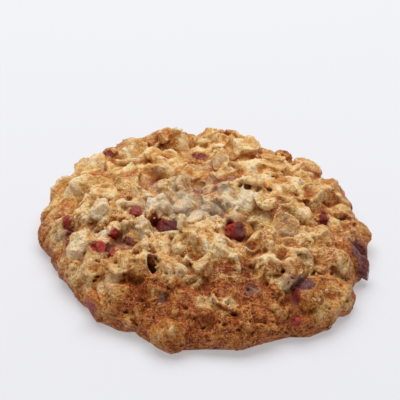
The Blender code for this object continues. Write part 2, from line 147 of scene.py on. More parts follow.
# Knobs of dough and whole oats baked into the crust, each where it shows: plan x and y,
# width and depth in plan, how far it stands out, all in mm, and its tone, from 0 for the
# palest cream, over yellow, honey and amber, to 1 for the brown of the rim.
KNOBS = (
    (-11.5, 36.5, 8, 12.5, 1.4, 0.7), (-14.5, 35.5, 4, 7.5, 0.8, 0.8),
    (-7.5, 37.5, 4, 7.5, 1, 0.65), (1.5, 40, 3.5, 7, 0.8, 0.75), (6, 37.5, 6, 10, 1, 0.6),
    (9.5, 31.5, 4, 7.5, 0.8, 0.55), (-19.5, 34.5, 4.5, 8, 0.8, 0.5),
    (-19.5, 23, 5.5, 7.5, 0.9, 0.15), (-15.5, 17, 7, 5, 0.8, 0.45), (-8, 21, 7, 5, 0.8, 0.35),
    (-5, 33, 7, 4.5, 0.7, 0.5), (0, 19, 6, 5.5, 0.9, 0.6), (3, 13, 3, 6.5, 0.6, 0.6),
    (-1.5, 9.5, 3, 7.5, 0.5, 0.8), (2, 6, 3.5, 7, 0.8, 0.3), (7.5, 7, 6, 6, 1, 0.1),
    (11, 3, 5, 9, 1.2, 0.1), (8.5, -0.5, 3.5, 6, 1, 0.2), (5.5, 2, 3, 7, 0.6, 0.3),
    (-5.5, 1, 4.5, 8, 0.9, 0.3), (-8, -2.5, 3, 4, 0.5, 0.35), (0, 1, 4.5, 5, 0.7, 0.3),
    (-10.5, 0.5, 3.5, 6.5, 0.8, 0.1), (-13.5, -1.5, 4.5, 4.5, 0.9, 0.1),
    (-10.5, -0.5, 5, 5, 1.8, 0.1), (34.5, 22.5, 5, 5, 1.2, 0.7), (41, -16.5, 3.5, 5, 1, 0.8),
    (-18.5, -37, 4, 3.5, 0.8, 0.85), (-18.5, 6, 3.5, 7, 0.9, 0.2), (-14, 1, 4.5, 5, 0.8, 0.05),
    (14.5, 31, 5.5, 6, 0.9, 0.75), (14.5, 22.5, 7, 7.5, 1.1, 0.05), (22, 23, 3.5, 7.5, 0.8, 0.25),
    (25.5, 14, 4.5, 8.5, 0.9, 0.15), (13, 5.5, 5.5, 5, 0.8, 0.3), (11.5, 9.5, 6, 5, 1, 0.15),
    (17.5, 12.5, 3.5, 8, 0.9, 0.1), (19, -0.5, 4, 7.5, 0.7, 0.7), (23, 0.5, 5.5, 7, 1.1, 0.2),
    (26, -1.5, 4, 5.5, 0.8, 0.15), (30, 23.5, 3.5, 6, 0.7, 0.8), (31, 15.5, 4, 8, 0.9, 0.6),
    (29, 7, 3, 5, 0.7, 0.3), (37, 17, 3.5, 8.5, 0.6, 0.85), (24, -9, 4, 5, 0.7, 0.35),
    (31.5, -7, 3, 8, 1, 0.35), (15.5, -5.5, 4, 5, 0.8, 0.2), (17, -15.5, 5.5, 10.5, 1.2, 0.6),
    (-26, 25, 5.5, 11, 0.9, 0.2), (-34, 26.5, 5.5, 5, 0.7, 0.6), (-30, 16.5, 3.5, 6, 0.7, 0.35),
    (-31, 12, 5, 7.5, 0.9, 0.3), (-26.5, 13.5, 5, 7, 0.8, 0.35), (-28.5, 0, 7, 4, 0.8, 0.15),
    (-26, -2, 5.5, 8.5, 1.2, 0.4), (-35, 4.5, 3.5, 4.5, 0.7, 0.15), (-33, 2.5, 3.5, 5, 0.7, 0.1),
    (-40.5, 10.5, 4, 6, 0.8, 0.6), (-37.5, 7.5, 3, 7, 0.6, 0.6), (-28, -5, 2.5, 7, 0.5, 0.2),
    (-33.5, -11.5, 4.5, 8, 1.2, 0.15), (-40.5, -3.5, 3.5, 6.5, 0.7, 0.4), (-27, -9, 5, 6, 1, 0.1),
    (-16.5, -9, 3.5, 4.5, 0.7, 0.45), (-15, -10.5, 5, 4.5, 0.9, 0.1),
    (-12.5, -12.5, 3.5, 3.5, 0.8, 0.2), (-22, 2.5, 3.5, 6, 0.7, 0.2),
    (-22.5, -0.5, 3, 5.5, 0.6, 0.3), (-2.5, -4.5, 5.5, 6.5, 1.1, 0.3),
    (1.5, -10.5, 5.5, 7, 1.1, 0.3), (-4, -17, 4, 5, 0.8, 0.3), (-15.5, -18, 4, 6, 1, 0.15),
    (-20.5, -22.5, 3.5, 6.5, 0.9, 0.3), (-24.5, -25, 4, 3.5, 0.7, 0.35),
    (-17, -24.5, 4, 5.5, 0.8, 0.45), (-9.5, -28.5, 3.5, 7.5, 1.1, 0.3),
    (-6.5, -27, 3.5, 8, 1.2, 0.3), (-4.5, -23, 2.5, 7.5, 1, 0.15),
    (-11.5, -32.5, 3.5, 3, 0.6, 0.3), (-10, -16.5, 4, 6, 0.3, 0.4), (-5, -18.5, 7, 6, 1.1, 0.55),
    (0.5, -18.5, 6.5, 5, 0.9, 0.4), (4.5, -19, 5.5, 4, 1, 0.1), (3, -22, 6, 4.5, 1.1, 0.3),
    (8, -23, 3, 6, 0.8, 0.2), (-0.5, -36, 3.5, 3.5, 1.3, 0.15), (2, -36.5, 3.5, 3.5, 1.2, 0.2),
    (6.5, -37, 4, 3.5, 1.2, 0.15), (5, -38.5, 4, 2.5, 0.5, 0.4),
    (-23.5, -32.5, 8.5, 7.5, 1.5, 0.7), (-28, -26, 3, 7, 0.8, 0.5), (-19, -37, 3.5, 8, 0.9, 0.5),
    (-13.5, -41, 3, 7, 0.9, 0.8), (-11, -39.5, 4, 3, 0.4, 0.7), (-5, -42, 7, 6, 1, 0.85),
    (-8, -42.5, 1.5, 3.5, 0.7, 0.35), (-11.5, -46, 4.5, 3, 1, 0.8),
    (-7.5, -47, 4, 2.5, 0.8, 0.75), (14, -23.5, 4.5, 7, 0.9, 0.25),
    (18, -22.5, 6, 3.5, 1.1, 0.15), (22.5, -21.5, 4, 5, 0.9, 0.3),
    (35.5, -17, 5.5, 10.5, 1.6, 0.8), (37, -6.5, 3.5, 6.5, 1, 0.75), (28, -13, 4, 5, 0.8, 0.5),
    (30, -16.5, 3, 7, 0.6, 0.6), (21, -29, 4.5, 4.5, 1.1, 0), (24.5, -27.5, 3, 5, 0.9, 0.1),
    (28, -21.5, 3.5, 6.5, 0.9, 0.15), (30.5, -20, 2, 6, 0.7, 0.2), (18, -27.5, 3, 6, 0.8, 0.25),
    (10, -24.5, 4.5, 7.5, 0.9, 0.4), (7.5, -28, 3.5, 4.5, 0.6, 0.5), (26.5, -31, 5.5, 7, 1, 0.5),
    (29, -35, 4.5, 4, 1, 0.5), (30, -37.5, 2.5, 3, 0.8, 0.2), (34, -37.5, 5.5, 6.5, 1.2, 0.8),
    (29.5, -40, 4.5, 2.5, 0.7, 0.75), (38, -27.5, 3, 12.5, 1, 0.5), (34, -23, 4, 5, 0.5, 0.75),
    (18.5, -36, 4.5, 4.5, 0.9, 0.6), (22, -35, 1.5, 6.5, 0.8, 0.45), (3, -29, 5.5, 3, 0.6, 0.8),
    (7.5, -33.5, 5.5, 3, 0.7, 0.8), (-6, -33.5, 4.5, 4, 0.8, 0.8), (-3.5, -39, 6, 2.5, 0.6, 0.9),
    (7.5, -38.5, 4, 3.5, 0.7, 0.9), (15, -35.5, 5, 4, 0.8, 0.7), (10.5, -42.5, 5, 4, 0.8, 0.9),
    (17.5, -43.5, 5, 3.5, 0.7, 0.9), (24.5, -41, 4, 3, 0.6, 0.9), (4, -44.5, 6, 3.5, 0.8, 0.9),
    (9, -45.5, 5, 3, 0.7, 0.9), (-44.5, 9.5, 2, 10, 0.6, 0.85), (-43.5, -0.5, 2, 10, 0.6, 0.9),
    (-40, -14, 3.5, 7, 0.7, 0.9), (-34.5, -20.5, 4, 7.5, 0.8, 0.7),
    (-31, -31.5, 3.5, 7, 0.8, 0.6), (37, -26, 3, 8.5, 0.5, 0.85),
)  # fmt: skip

RIPPLES = ((1.1 * MM, 8.5 * MM), (0.55 * MM, 4.0 * MM))  # height and width of each

# Cranberries: plan x and y, length, width and thickness, heading in degrees, and depth, in mm.
CRANBERRIES = (
    (-18.6, 0, 5.4, 4.4, 4, 20, 0.6), (-9.6, -5.4, 9.6, 6.4, 5, -28, 0.9),
    (9.7, -8, 7.8, 6.8, 5.4, 75, 0.6), (32.2, 1, 6.4, 3.8, 4, -65, 0.7),
    (41, -11.6, 13, 7, 6.4, 80, 1), (-37.2, -0.8, 8.4, 3.9, 4, 106, 1),
    (-24.2, -7.2, 5.2, 4.2, 4, -40, 0.7), (-26.8, -13.4, 8, 4.2, 4, -26, 0.8),
    (-19.2, -11.4, 5, 4.2, 4, 5, 1.1), (-30.2, -33.2, 7, 5.2, 4.8, -50, 0.5),
    (27.4, -31.4, 10, 7, 5.6, 40, 0.8), (26, -39.6, 4.2, 3.4, 3.4, 15, 0.7),
    (-26.6, 37.4, 8.2, 5.2, 4.8, 30, 0.7), (-3.4, 27.2, 8.4, 5.2, 4.6, -10, 1.1),
    (5.4, 26.8, 5.2, 4.2, 4, 60, 0.8), (22.6, 36.4, 8, 5.2, 4.6, -35, 0.8),
    (-12, 44.6, 7.6, 5.4, 4.8, 5, 0.4), (8, 45.4, 6.8, 5, 4.6, -10, 0.6),
)  # fmt: skip
WRINKLE_DEPTH = 0.16
WRINKLES_ACROSS = 1.4
FOLD_DEPTH = 0.11
CREASE_DEPTH = 0.07

# Where a berry's skin shows through the dough over it: the berry's number, the place across and
# up as it is seen in front of the cookie, half width and half height, in mm, how bright the skin
# is, a painted glow of light through it, and how dusty, dust with a painted sheen, from 0 to 1.
SKIN = (
    (1, -18.8, 12.2, 1.6, 1.6, 0.6, 0.75), (2, -13.6, 10.4, 1, 1.8, 0.6, 0.1),
    (2, -12.2, 9, 1.5, 1.5, 0.35, 0.1), (2, -9.4, 8, 3.6, 1.8, 0.1, 0.15),
    (3, 7.7, 7.2, 1.4, 2.6, 0.7, 0), (3, 9.5, 6.8, 2, 2.5, 0.1, 0.15),
    (4, 33.3, 10.1, 1.1, 2.1, 0.5, 0.1), (5, 43.8, 2.8, 2.6, 3.4, 0.15, 0.9),
    (5, 44.6, -2.8, 1.6, 3.6, 0.2, 0.8), (6, -38.2, 9.3, 1, 1.8, 0.9, 0.4),
    (6, -36.9, 5.2, 1.5, 2.6, 0.35, 0.8), (7, -24.9, 5.8, 1.3, 1.5, 0.9, 0.2),
    (8, -29, 2.5, 2.3, 1.4, 1, 0.1), (8, -26.5, 2.2, 1.1, 1.2, 0.2, 0.6),
    (8, -25.3, 1, 0.9, 1.3, 0.9, 0.3), (9, -21, 4.2, 1.4, 1, 0.2, 0.6),
    (10, -32.2, -15.3, 1.9, 2.4, 0.8, 0.4), (11, 25.6, -10.8, 1.1, 2.8, 0.5, 0.4),
    (11, 28.2, -7.6, 2.3, 1.9, 0.05, 0.9), (12, 25.7, -18.1, 1.4, 1.1, 0.8, 0.3),
    (13, -25.4, 28.6, 1.9, 0.8, 0.6, 0.7), (14, -1.3, 28, 2, 1, 0.3, 0.6),
    (15, 4.9, 26.1, 1.2, 1.6, 0.8, 0.5),
)  # fmt: skip
SEEN_FROM = (math.radians(35.0), 0.6)  # the angle above the table and how far off, in metres

# The tone of the dough over each berry, and how much of its width lies open from any side.
BERRY_COVERS = (
    (0.25, 0), (0.2, 0), (0.5, 0), (0.5, 0), (0.65, 0), (0.3, 0), (0.05, 0), (0.05, 0), (0.4, 0),
    (0.6, 0), (0.65, 0), (0.7, 0), (0.5, 0.5), (0.45, 0), (0.5, 0), (0.6, 0.3), (0.6, 0.6),
    (0.6, 0.6),
)  # fmt: skip
COVER_DEPTH = 0.5 * MM
BERRY_LIFT = 0.5 * MM  # how far the skins stand out past the solids, puffed up by the heat
BERRY_SWELL = 1.03
BERRY_OVERHANG = 2.4 * MM

TOP_OATS = 82
RIM_OATS = 18
OAT_LENGTH = 7.4 * MM
OAT_WIDTH = 5.6 * MM
OAT_THICKNESS = 1.5 * MM
OAT_SIDES = 7
OAT_BEND = 0.9 * MM
OAT_SIZE_SPREAD = 0.22
OAT_RAGGED = 0.13
OAT_TILT = (4.0, 24.0)
OAT_PROUD = 0.1 * MM
GOLDEN_ANGLE = math.pi * (3.0 - math.sqrt(5.0))
SEED = 11

# --- The finer form -----------------------------------------------------------------------

CORE_SEGMENTS = 320
CORE_RINGS = 190
CORE_SUNK = 0.45 * MM  # how far the dough lies under the crust between the knobs
COATING = 7  # how often each corner is drawn towards its neighbours
COATING_ROUNDS = 0.25  # how much of that wears down the tops, besides filling the crevices

# The dusty bloom with a painted sheen, pale on the knobs as a painted highlight and grey in the
# recesses as painted shade: plan x and y, half width and half depth, in mm, strength, and how pale
# it is.
HAZE_AND_SHEEN = (
    (-1.2, 0.4, 15, 7, 1, 0.5), (-12, 2.5, 8, 5, 1, 1), (9.5, 1, 7, 5, 1, 0.9),
    (-2, 9, 16, 9, 0.6, 0.4), (-12.4, 13, 7, 6, 0.7, 0.1), (3, 22, 8, 5, 0.6, 0),
    (-33, -5.5, 5, 4, 0.8, 0), (-20.7, -12, 6, 4, 0.6, 0), (22.4, -8.7, 5, 4, 0.6, 0.1),
    (-11, -34, 2, 2, 0.5, 0.1), (13.5, -30.5, 2.5, 2, 0.5, 0.2), (-27, -10, 3, 3, 0.9, 0.9),
)  # fmt: skip

# Where the crust dips or swells between its knobs: plan x and y, half width and half depth,
# how far it rises, in mm, and how much browner it is there, which in the dips is painted shade.
SPOTS = (
    (-13.5, -23, 1, 2, -3.2, 0.9), (-1.5, -23, 2.5, 2.5, -1.2, 0.5),
    (12.5, -15, 2.5, 2.5, -1.8, 0.9), (3.5, -13, 1.5, 2, -1, 0.45), (2, 36, 2.5, 2, -0.3, 0.35),
    (7.5, -17, 3, 2.5, -2, 0.5), (12, -27, 2.5, 3, -0.5, 0.3), (12.5, -31.5, 2, 2, -0.8, 0.5),
    (-17, -33.5, 4, 3.5, -0.4, 0.2), (-7.5, -9, 2, 1.5, -1, 0.45),
    (-7.5, -2, 2.5, 2.5, 0.8, -0.45), (-42, -5.5, 2.5, 5.5, 0, 0.45), (6, 11, 4, 3, -1, 0.4),
    (10.5, -30.5, 4, 3, -1, 0.4), (27.5, -38.5, 4, 3, -0.5, 0.4), (-10.5, -10, 3, 2, -1.5, 0.4),
    (29, 9.5, 2.5, 3, -0.8, 0.4), (9.5, 19, 2.5, 3, -1, 0.4), (0, 40.5, 2, 3, 0, 0.4),
    (-11, -33, 2.5, 3, -1, 0.4), (40, 2.5, 2.5, 4, 0, 0.4), (12, -24.5, 3.5, 4, -1, 0.35),
    (-23.5, -4.5, 4, 3, -0.8, 0.35), (-2.5, 7.5, 4, 3, -0.8, 0.35), (-18, -25.5, 4, 3, -0.5, 0.2),
    (34, 4.5, 3.5, 3, -0.8, 0.35), (5.5, -26.5, 4, 3, -0.8, 0.35),
    (23.5, -16.5, 3.5, 3, -0.8, 0.35), (21.5, -21.5, 3, 3, -0.6, 0.35),
    (5, 9, 2.5, 3.5, -0.8, 0.35), (0, 30.5, 2.5, 2.5, -1, 0.35), (-1, -14, 2.5, 3, -0.5, 0.35),
    (27.5, 4.5, 2.5, 3, -0.6, 0.35), (-20.5, 16, 3, 2.5, -0.6, 0.35),
    (5, 17.5, 2, 2.5, -0.8, 0.35), (-22, -15.5, 2, 2.5, -0.6, 0.35),
    (-14.5, -4, 1.5, 2.5, -0.8, 0.35), (-24, -11.5, 3, 3, -0.8, 0.3),
    (-13.5, 15.5, 4, 3, -0.8, 0.3), (17, 21, 4, 3, -0.6, 0.3), (-10, 27, 2.5, 3, -0.5, 0.3),
    (8.5, -5, 3, 2, 1, -0.2), (44, 1, 4, 4, 0, -0.25), (38, 16.5, 5, 3.5, 0.4, -0.3),
    (11, 31, 4, 3, 0.5, -0.3), (-40, 21.5, 4, 4, 0, -0.3), (-5, 35, 4, 3, 0.5, -0.3),
    (12, 0.5, 4, 3, 0.4, -0.3), (-29, -18, 3, 3, 0.4, -0.3), (-31.5, -13, 3, 3, 0.4, -0.3),
    (-17.5, -10.5, 3, 2.5, 0.4, -0.3), (-22.5, -26, 2, 3, 0, -0.3),
    (-6.5, -20.5, 2, 2.5, 0.5, -0.3), (-6.5, -28.5, 3.5, 3, 0.8, -0.35),
    (-10, -2, 4, 3, 0.6, -0.35), (37.5, -20, 4, 4, 0.3, -0.35), (-13, 1.5, 4, 3, 0.5, -0.35),
    (0.5, -22, 2.5, 2, 0.8, -0.35), (-16.5, 30.5, 2.5, 3, 0.3, -0.35),
    (-30.5, -23, 2, 3, 0.3, -0.35), (-9.5, 8.5, 2.5, 3, 0.4, -0.35),
    (-7.5, 38.5, 2.5, 3, 0, -0.35), (-15.5, 39, 2.5, 3, 0.3, -0.35),
    (29.5, -37.5, 3, 4, 0, -0.35), (-39.5, -1, 4, 4, 0.4, -0.4), (-35, 15.5, 5, 4, 0.5, -0.4),
    (-43, 13.5, 4, 4, 0, -0.4), (-35.5, -19.5, 4, 4, 0, -0.4), (-19.5, 2.5, 2, 2, 0.8, -0.4),
    (22.5, -29, 2.5, 2, 0.7, -0.45), (-21.5, 34, 2.5, 3.5, 0.3, -0.5), (-28, -29, 9, 9, 0, -0.42),
    (31, -32, 9, 8, 0, -0.28), (-38, -4, 10, 20, 0, -0.12), (36, 2, 10, 18, 0, 0.15),
    (28, 25, 12, 10, 0, 0.1), (11.5, 8.5, 2.5, 2.5, 0.4, -0.3),
    (21.5, -25.5, 2.5, 2.5, 0.6, -0.4), (17, -5.5, 2, 2.5, 0.5, -0.3),
    (-27.5, -2, 2.5, 2.5, 0.5, -0.35), (38.5, -28.5, 3, 3.5, 0, -0.35),
    (-12, -44.5, 3, 2.5, 0, -0.4),
)  # fmt: skip

# The oats sunk in the crust, with lengths in mm and their width as a share of the length.
BURIED_LENGTH = (3.2, 6.6)
BURIED_WIDTH = (0.55, 0.9)
BURIED_THICKNESS = (0.9, 1.6)
BURIED_SINK = (-1.1, 0.5)
BURIED_BEND = (-0.9, 0.5)
BURIED_SIDES = 9

# The knobs of dough, with lengths in mm: torn chunks baked together.
NUGGET_RADIUS = (0.8, 2.6)
CHUNK_CUTS = 7
CHUNK_SIZE = (0.45, 0.70)
MIDDLE_CHUNK = 0.9
KNOB_CLAIM = 1.35  # how far the knobs of KNOBS colour the dough beside them
RIM_KNOBS = 5  # over the edges of each berry
RIM_KNOB_RADIUS = (0.7, 1.5)
RIM_OVERHANG = 2.2 * MM  # how far past the rim a piece of the crust may reach

# The browned rim: the share of the radius where it starts behind, how much nearer the middle
# it starts in front, how wide its edge is, and between which heights it weakens.
BROWN_START = 0.86
BROWN_FRONT = 0.22
BROWN_EDGE = 0.13
BROWN_HEIGHTS = (3.5 * MM, 9.0 * MM)

# The crumb of the crust, in mm: the depth and width of what is torn out of it, from coarse to
# fine, and its pores, one to a cell, with the share of the cell that each may fill.
TORN_LAYERS = ((0.24, 2.8), (0.13, 1.4), (0.12, 0.7))
PORE_CELL = 1.8
PORE_SHARE = 0.50
PORE_DEPTH = 1.5
FLAT_EDGE = (0.1 * MM, 1.5 * MM)  # the heights over which the flat underside gives way to it
SOFT_BACK = (0.0, 22.0 * MM)  # from where to where, going back, the crust gets softer

# What tells tops from recesses: how smooth the crust is that they are measured from, and the
# height that counts as 1, for the fine relief and for the broad.
FINE_ROUNDS = 8
FINE_HEIGHT = 0.16 * MM
BROAD_ROUNDS = 90
BROAD_HEIGHT = 0.9 * MM
MOST_RISE = 1.5

TONES = (0.0, 0.25, 0.5, 0.75, 1.0)  # where cream, yellow, honey, amber and brown stand
DOUGH_TONE = 0.52
RIM_TONE = 0.93
BAKED_KNOB_TONE = 0.85
PIECE_EDGE = (0.70, 1.25)  # where a piece's tone starts to fade and ends, in its half sizes
MOST_TRIANGLES = 192_000  # that the dough's mesh may have

CRUMB_RADIUS = (0.16, 0.42)  # in mm
CRUMB_TONE = (-0.2, 0.1)  # how much browner than the dough under it
CRUMB_SUNK = 0.3  # of its radius

BURIED_SEED, NUGGET_SEED, COVER_SEED, CRUMB_SEED, NOISE_SEED = 23, 37, 61, 77, 4
noise.seed_set(NOISE_SEED)  # else the vector noise is drawn afresh at each start of Blender


def rim_radius(angle):
    """The rim's radius at each angle, on a smooth closed curve through RIM_RADII."""
    radii = np.array(RIM_RADII) * MM
    place = (angle / (2.0 * math.pi)) % 1.0 * len(radii)
    first = np.floor(place).astype(int)
    t = place - first
    before, start, end, after = (radii[(first + i) % len(radii)] for i in (-1, 0, 1, 2))
    bend = 2 * before - 5 * start + 4 * end - after
    twist = 3 * (start - end) + after - before
    return 0.5 * (2 * start + t * (end - before) + t * t * bend + t * t * t * twist)


def rim_points(angle):
    """The rim's points in plan."""
    return np.stack((np.cos(angle), np.sin(angle)), -1) * rim_radius(angle)[..., None]


def dome_points(angle, reach):
    """Points of the bare dome: reach is 0 at the crown, 1 at the rim and 2 at the foot."""
    rim = rim_points(angle)
    share = np.sin(np.clip(reach, 0.0, 1.0) * math.pi / 2)
    rise = np.maximum(0.0, 1.0 - share**DOME_ROUNDNESS) ** DOME_FALL
    turn = np.clip(reach - 1.0, 0.0, 1.0) * math.pi / 2
    over = CROWN_CENTRE + (rim - CROWN_CENTRE) * share[..., None]
    under = rim * (FOOT_SHARE + (1.0 - FOOT_SHARE) * np.cos(turn))[..., None]
    plan = np.where((reach <= 1.0)[..., None], over, under)
    high = BULGE_HEIGHT + (CROWN_HEIGHT - BULGE_HEIGHT) * rise
    low = BULGE_HEIGHT - (BULGE_HEIGHT + FOOT_DIP) * np.sin(turn)
    return np.concatenate((plan, np.where(reach <= 1.0, high, low)[..., None]), -1)


def unit(vectors):
    """The vectors, each at a length of 1."""
    return vectors / np.maximum(np.linalg.norm(vectors, axis=-1, keepdims=True), 1e-12)


def dome_normals(angle, reach):
    """Which way the bare dome faces at each place."""
    step = 0.01
    out, back = np.minimum(2.0, reach + step), np.maximum(0.02, reach - step)
    along = dome_points(angle, out) - dome_points(angle, back)
    around = dome_points(angle + step, reach) - dome_points(angle - step, reach)
    flat = np.linalg.norm(around, axis=-1, keepdims=True) < 1e-7
    return np.where(flat, (0.0, 0.0, 1.0), unit(np.cross(along, around)))


def reach_at(share):
    """The reach at a share of the way from the crown to the rim, in plan."""
    return math.asin(share) * 2 / math.pi


def dome_place(x, y):
    """The (angle, reach) of the dome's point over a place in plan, in metres."""
    offset = np.array((x, y)) - CROWN_CENTRE
    angles = np.radians(np.arange(720) / 2)
    spokes = rim_points(angles) - CROWN_CENTRE
    nearest = np.argmax(unit(spokes) @ unit(offset))
    share = np.linalg.norm(offset) / np.linalg.norm(spokes[nearest])
    return angles[nearest], reach_at(min(0.995, share))


def on_the_dome(places):
    """Each (x, y, radius, height) in mm as (middle on the bare dome, radius, height)."""
    found = []
    for x, y, radius, height in places:
        angle, reach = dome_place(x * MM, y * MM)
        middle = dome_points(np.array(angle), np.array(reach))
        found.append((middle, radius * MM, height * MM))
    return found


def even_band(angle, reach):
    """How far a place lies within the even band at the front, from 0 to 1."""
    share = math.sin(min(1.0, reach) * math.pi / 2)
    start = BAND_START - BAND_FRONT * max(0.0, -math.sin(angle))
    return min(1.0, max(0.0, (share - start) / BAND_EDGE))


def small_clumps():
    """The smaller clumps as (middle, radius, rise), on a sunflower's spiral over the dome."""
    draw = random.Random(SEED)
    found = []
    for i in range(SMALL_CLUMPS):
        share = (i + 0.5) / SMALL_CLUMPS
        angle = i * GOLDEN_ANGLE + draw.uniform(-0.06, 0.06)
        reach = min(1.5, math.sqrt(share) * 1.12 + draw.uniform(-0.03, 0.03))
        middle = dome_points(np.array(angle), np.array(max(0.0, reach)))
        radius, rise = draw.uniform(*SMALL_RADIUS), draw.uniform(*SMALL_RISE)
        found.append((middle, radius, rise * (1.0 - BAND_CALM * even_band(angle, reach))))
    return found


LARGE = on_the_dome(LUMPS)
SMALL = small_clumps()
HOLLOWS = on_the_dome(PITS)


def clump_height(points, clumps):
    """The rise of domed clumps at each point, each meeting its neighbours in a crease."""
    total = np.zeros(len(points))
    for middle, radius, rise in clumps:
        off = np.linalg.norm(points - middle, axis=1) / radius
        dome = rise / MM * np.sqrt(np.maximum(0.0, 1.0 - off * off))
        total += dome**LUMP_BLEND
    return total ** (1.0 / LUMP_BLEND) * MM


def smooth_noise(points, width, shift=(0.0, 0.0, 0.0)):
    """Smooth noise from about -1 to 1 at each point, in blobs of about the given width."""
    places = (points / width + np.array(shift)).tolist()
    return np.array([noise.noise(place) for place in places])


def relief(points):
    """How far the crust stands off the bare dome at each point."""
    height = clump_height(points, LARGE) + clump_height(points, SMALL)
    for middle, radius, depth in HOLLOWS:
        off = np.linalg.norm(points - middle, axis=1) / radius
        height -= depth * np.maximum(0.0, 1.0 - off * off)
    for layer, (depth, width) in enumerate(RIPPLES):
        shift = (3.1 * layer + 0.7, 1.9 * layer, 5.3)
        height += depth * smooth_noise(points, width, shift)
    return height


def crust_points(angle, reach):
    """The dome's points with the crust's relief, which dies out under the foot."""
    points = dome_points(angle, reach)
    calm = np.clip((2.0 - reach) * 2.0, 0.0, 1.0)
    return points + dome_normals(angle, reach) * (relief(points) * calm)[:, None]


def crust_normals(angle, reach):
    """Which way the crust faces at each place, over a span of about a clump's radius."""
    step = 0.045
    out, back = np.minimum(1.9, reach + step), np.maximum(0.03, reach - step)
    along = crust_points(angle, out) - crust_points(angle, back)
    turn = step / np.maximum(0.25, np.sin(np.minimum(1.0, reach) * math.pi / 2))
    around = crust_points(angle + turn, reach) - crust_points(angle - turn, reach)
    return unit(np.cross(along, around))


def crust_spots(angles, reaches):
    """The crust's points and outward directions at many places."""
    angles, reaches = np.array(angles, float), np.array(reaches, float)
    return crust_points(angles, reaches), crust_normals(angles, reaches)


def crust_at(x, y):
    """The reach, the crust's point and the dome's direction at a place in plan, in mm."""
    angle, reach = (np.array([value]) for value in dome_place(x * MM, y * MM))
    return reach[0], crust_points(angle, reach)[0], dome_normals(angle, reach)[0]


def facing(normal, heading, tilt=0.0):
    """The turn that lays a piece on the crust, heading radians round, tipped by tilt."""
    upright = Vector(normal).to_track_quat("Z", "Y").to_matrix().to_4x4()
    return upright @ Matrix.Rotation(heading, 4, "Z") @ Matrix.Rotation(tilt, 4, "X")


def berry_places():
    """Each berry's (turn and place, size, middle, reach), as its solid has them."""
    found = []
    for x, y, length, width, thick, heading, depth in CRANBERRIES:
        _, spot, normal = crust_at(x, y)
        middle = spot - normal * depth * MM
        place = Matrix.Translation(middle) @ facing(normal, math.radians(heading))
        size = np.array((length, width, thick)) * MM
        found.append((place, size, middle, length * MM / 2))
    return found


BERRIES = berry_places()

# --- Settings -----------------------------------------------------------------------------


def colour_setting(name, description, default):
    return bpy.props.FloatVectorProperty(
        name=name, description=description, default=default, size=3, subtype="COLOR", min=0, max=1
    )


def length_setting(name, description, default):
    return bpy.props.FloatProperty(
        name=name, description=description, default=default, unit="LENGTH", min=0.0
    )


class DoughSettings(bpy.types.PropertyGroup):
    """The baked dough, with the oats and crumbs in it."""

    grain: length_setting("Grain", "Side of the mesh's squares", 0.36 * MM)
    buried_oats: bpy.props.IntProperty(
        name="Buried oats", description="Smaller oats baked into the crust", default=460, min=0
    )
    nuggets: bpy.props.IntProperty(
        name="Nuggets", description="Knobs of dough on the crust", default=190, min=0
    )
    crumbs: bpy.props.IntProperty(
        name="Crumbs", description="Grains stuck to the crust", default=1300, min=0
    )
    cream: colour_setting("Cream", "Raised oats, palest", (0.95, 0.755, 0.48))
    yellow: colour_setting("Yellow", "Pale knobs of dough", (0.88, 0.585, 0.24))
    honey: colour_setting("Honey", "Dough between the oats", (0.66, 0.345, 0.092))
    amber: colour_setting("Amber", "Toasted knobs", (0.58, 0.21, 0.026))
    brown: colour_setting("Brown", "The well baked rim", (0.39, 0.070, 0.006))
    russet: colour_setting("Russet", "Darker grains in the rim", (0.17, 0.025, 0.002))
    tan: colour_setting("Tan", "Paler grains in the rim", (0.70, 0.32, 0.13))
    # painted shade in the crevices between the knobs
    crevice_shade: colour_setting("Crevice", "Between the knobs", (0.28, 0.078, 0.003))
    # painted shade in the deepest crevices and in the pores
    deep_shade: colour_setting("Dark", "Pores", (0.09, 0.010, 0.001))
    # the bloom's pale colour on the knobs: dust with a painted sheen
    sheen_haze: colour_setting("Haze", "Dusty bloom on the knobs", (0.84, 0.79, 0.68))
    # the bloom's grey in the recesses: dust with a painted sheen, darkened as painted shade
    grey_sheen_haze: colour_setting("Grey", "Dusty bloom in the recesses", (0.34, 0.30, 0.27))


class BerrySettings(bpy.types.PropertyGroup):
    """The dried cranberries."""

    skin: colour_setting("Skin", "Most of the skin", (0.085, 0.008, 0.008))
    bright: colour_setting("Bright", "Where light comes through", (0.52, 0.045, 0.020))
    # dusty mauve with a painted sheen on the ridges
    bloom_sheen: colour_setting("Bloom", "Dusty mauve on the ridges", (0.30, 0.14, 0.12))


class StageSettings(bpy.types.PropertyGroup):
    """Floor, light and camera."""

    floor: colour_setting("Floor", "The pale floor", (0.46, 0.47, 0.51))
    floor_glow: bpy.props.FloatProperty(
        name="Floor glow", description="Light that comes up through the floor", default=0.345
    )
    key_watts: bpy.props.FloatProperty(
        name="Key", description="Strength of the large light overhead", default=11.0, unit="POWER"
    )
    fill: bpy.props.FloatProperty(name="Fill", description="Light from all round", default=0.30)
    elevation: bpy.props.FloatProperty(
        name="Elevation",
        description="The camera's angle above the table",
        default=math.radians(35.0),
        subtype="ANGLE",
    )
    aim_up: bpy.props.FloatProperty(
        name="Aim up",
        description="How far over the cookie the camera is aimed",
        default=math.radians(1.485),
        subtype="ANGLE",
    )
    aim_left: bpy.props.FloatProperty(
        name="Aim left",
        description="How far beside the cookie the camera is aimed",
        default=math.radians(0.119),
        subtype="ANGLE",
    )
    distance: length_setting("Distance", "From the camera to the cookie", 0.6)


# --- Meshes -------------------------------------------------------------------------------


def deselect():
    for thing in bpy.context.selected_objects:
        thing.select_set(False)


def activate(thing):
    deselect()
    thing.select_set(True)
    bpy.context.view_layer.objects.active = thing


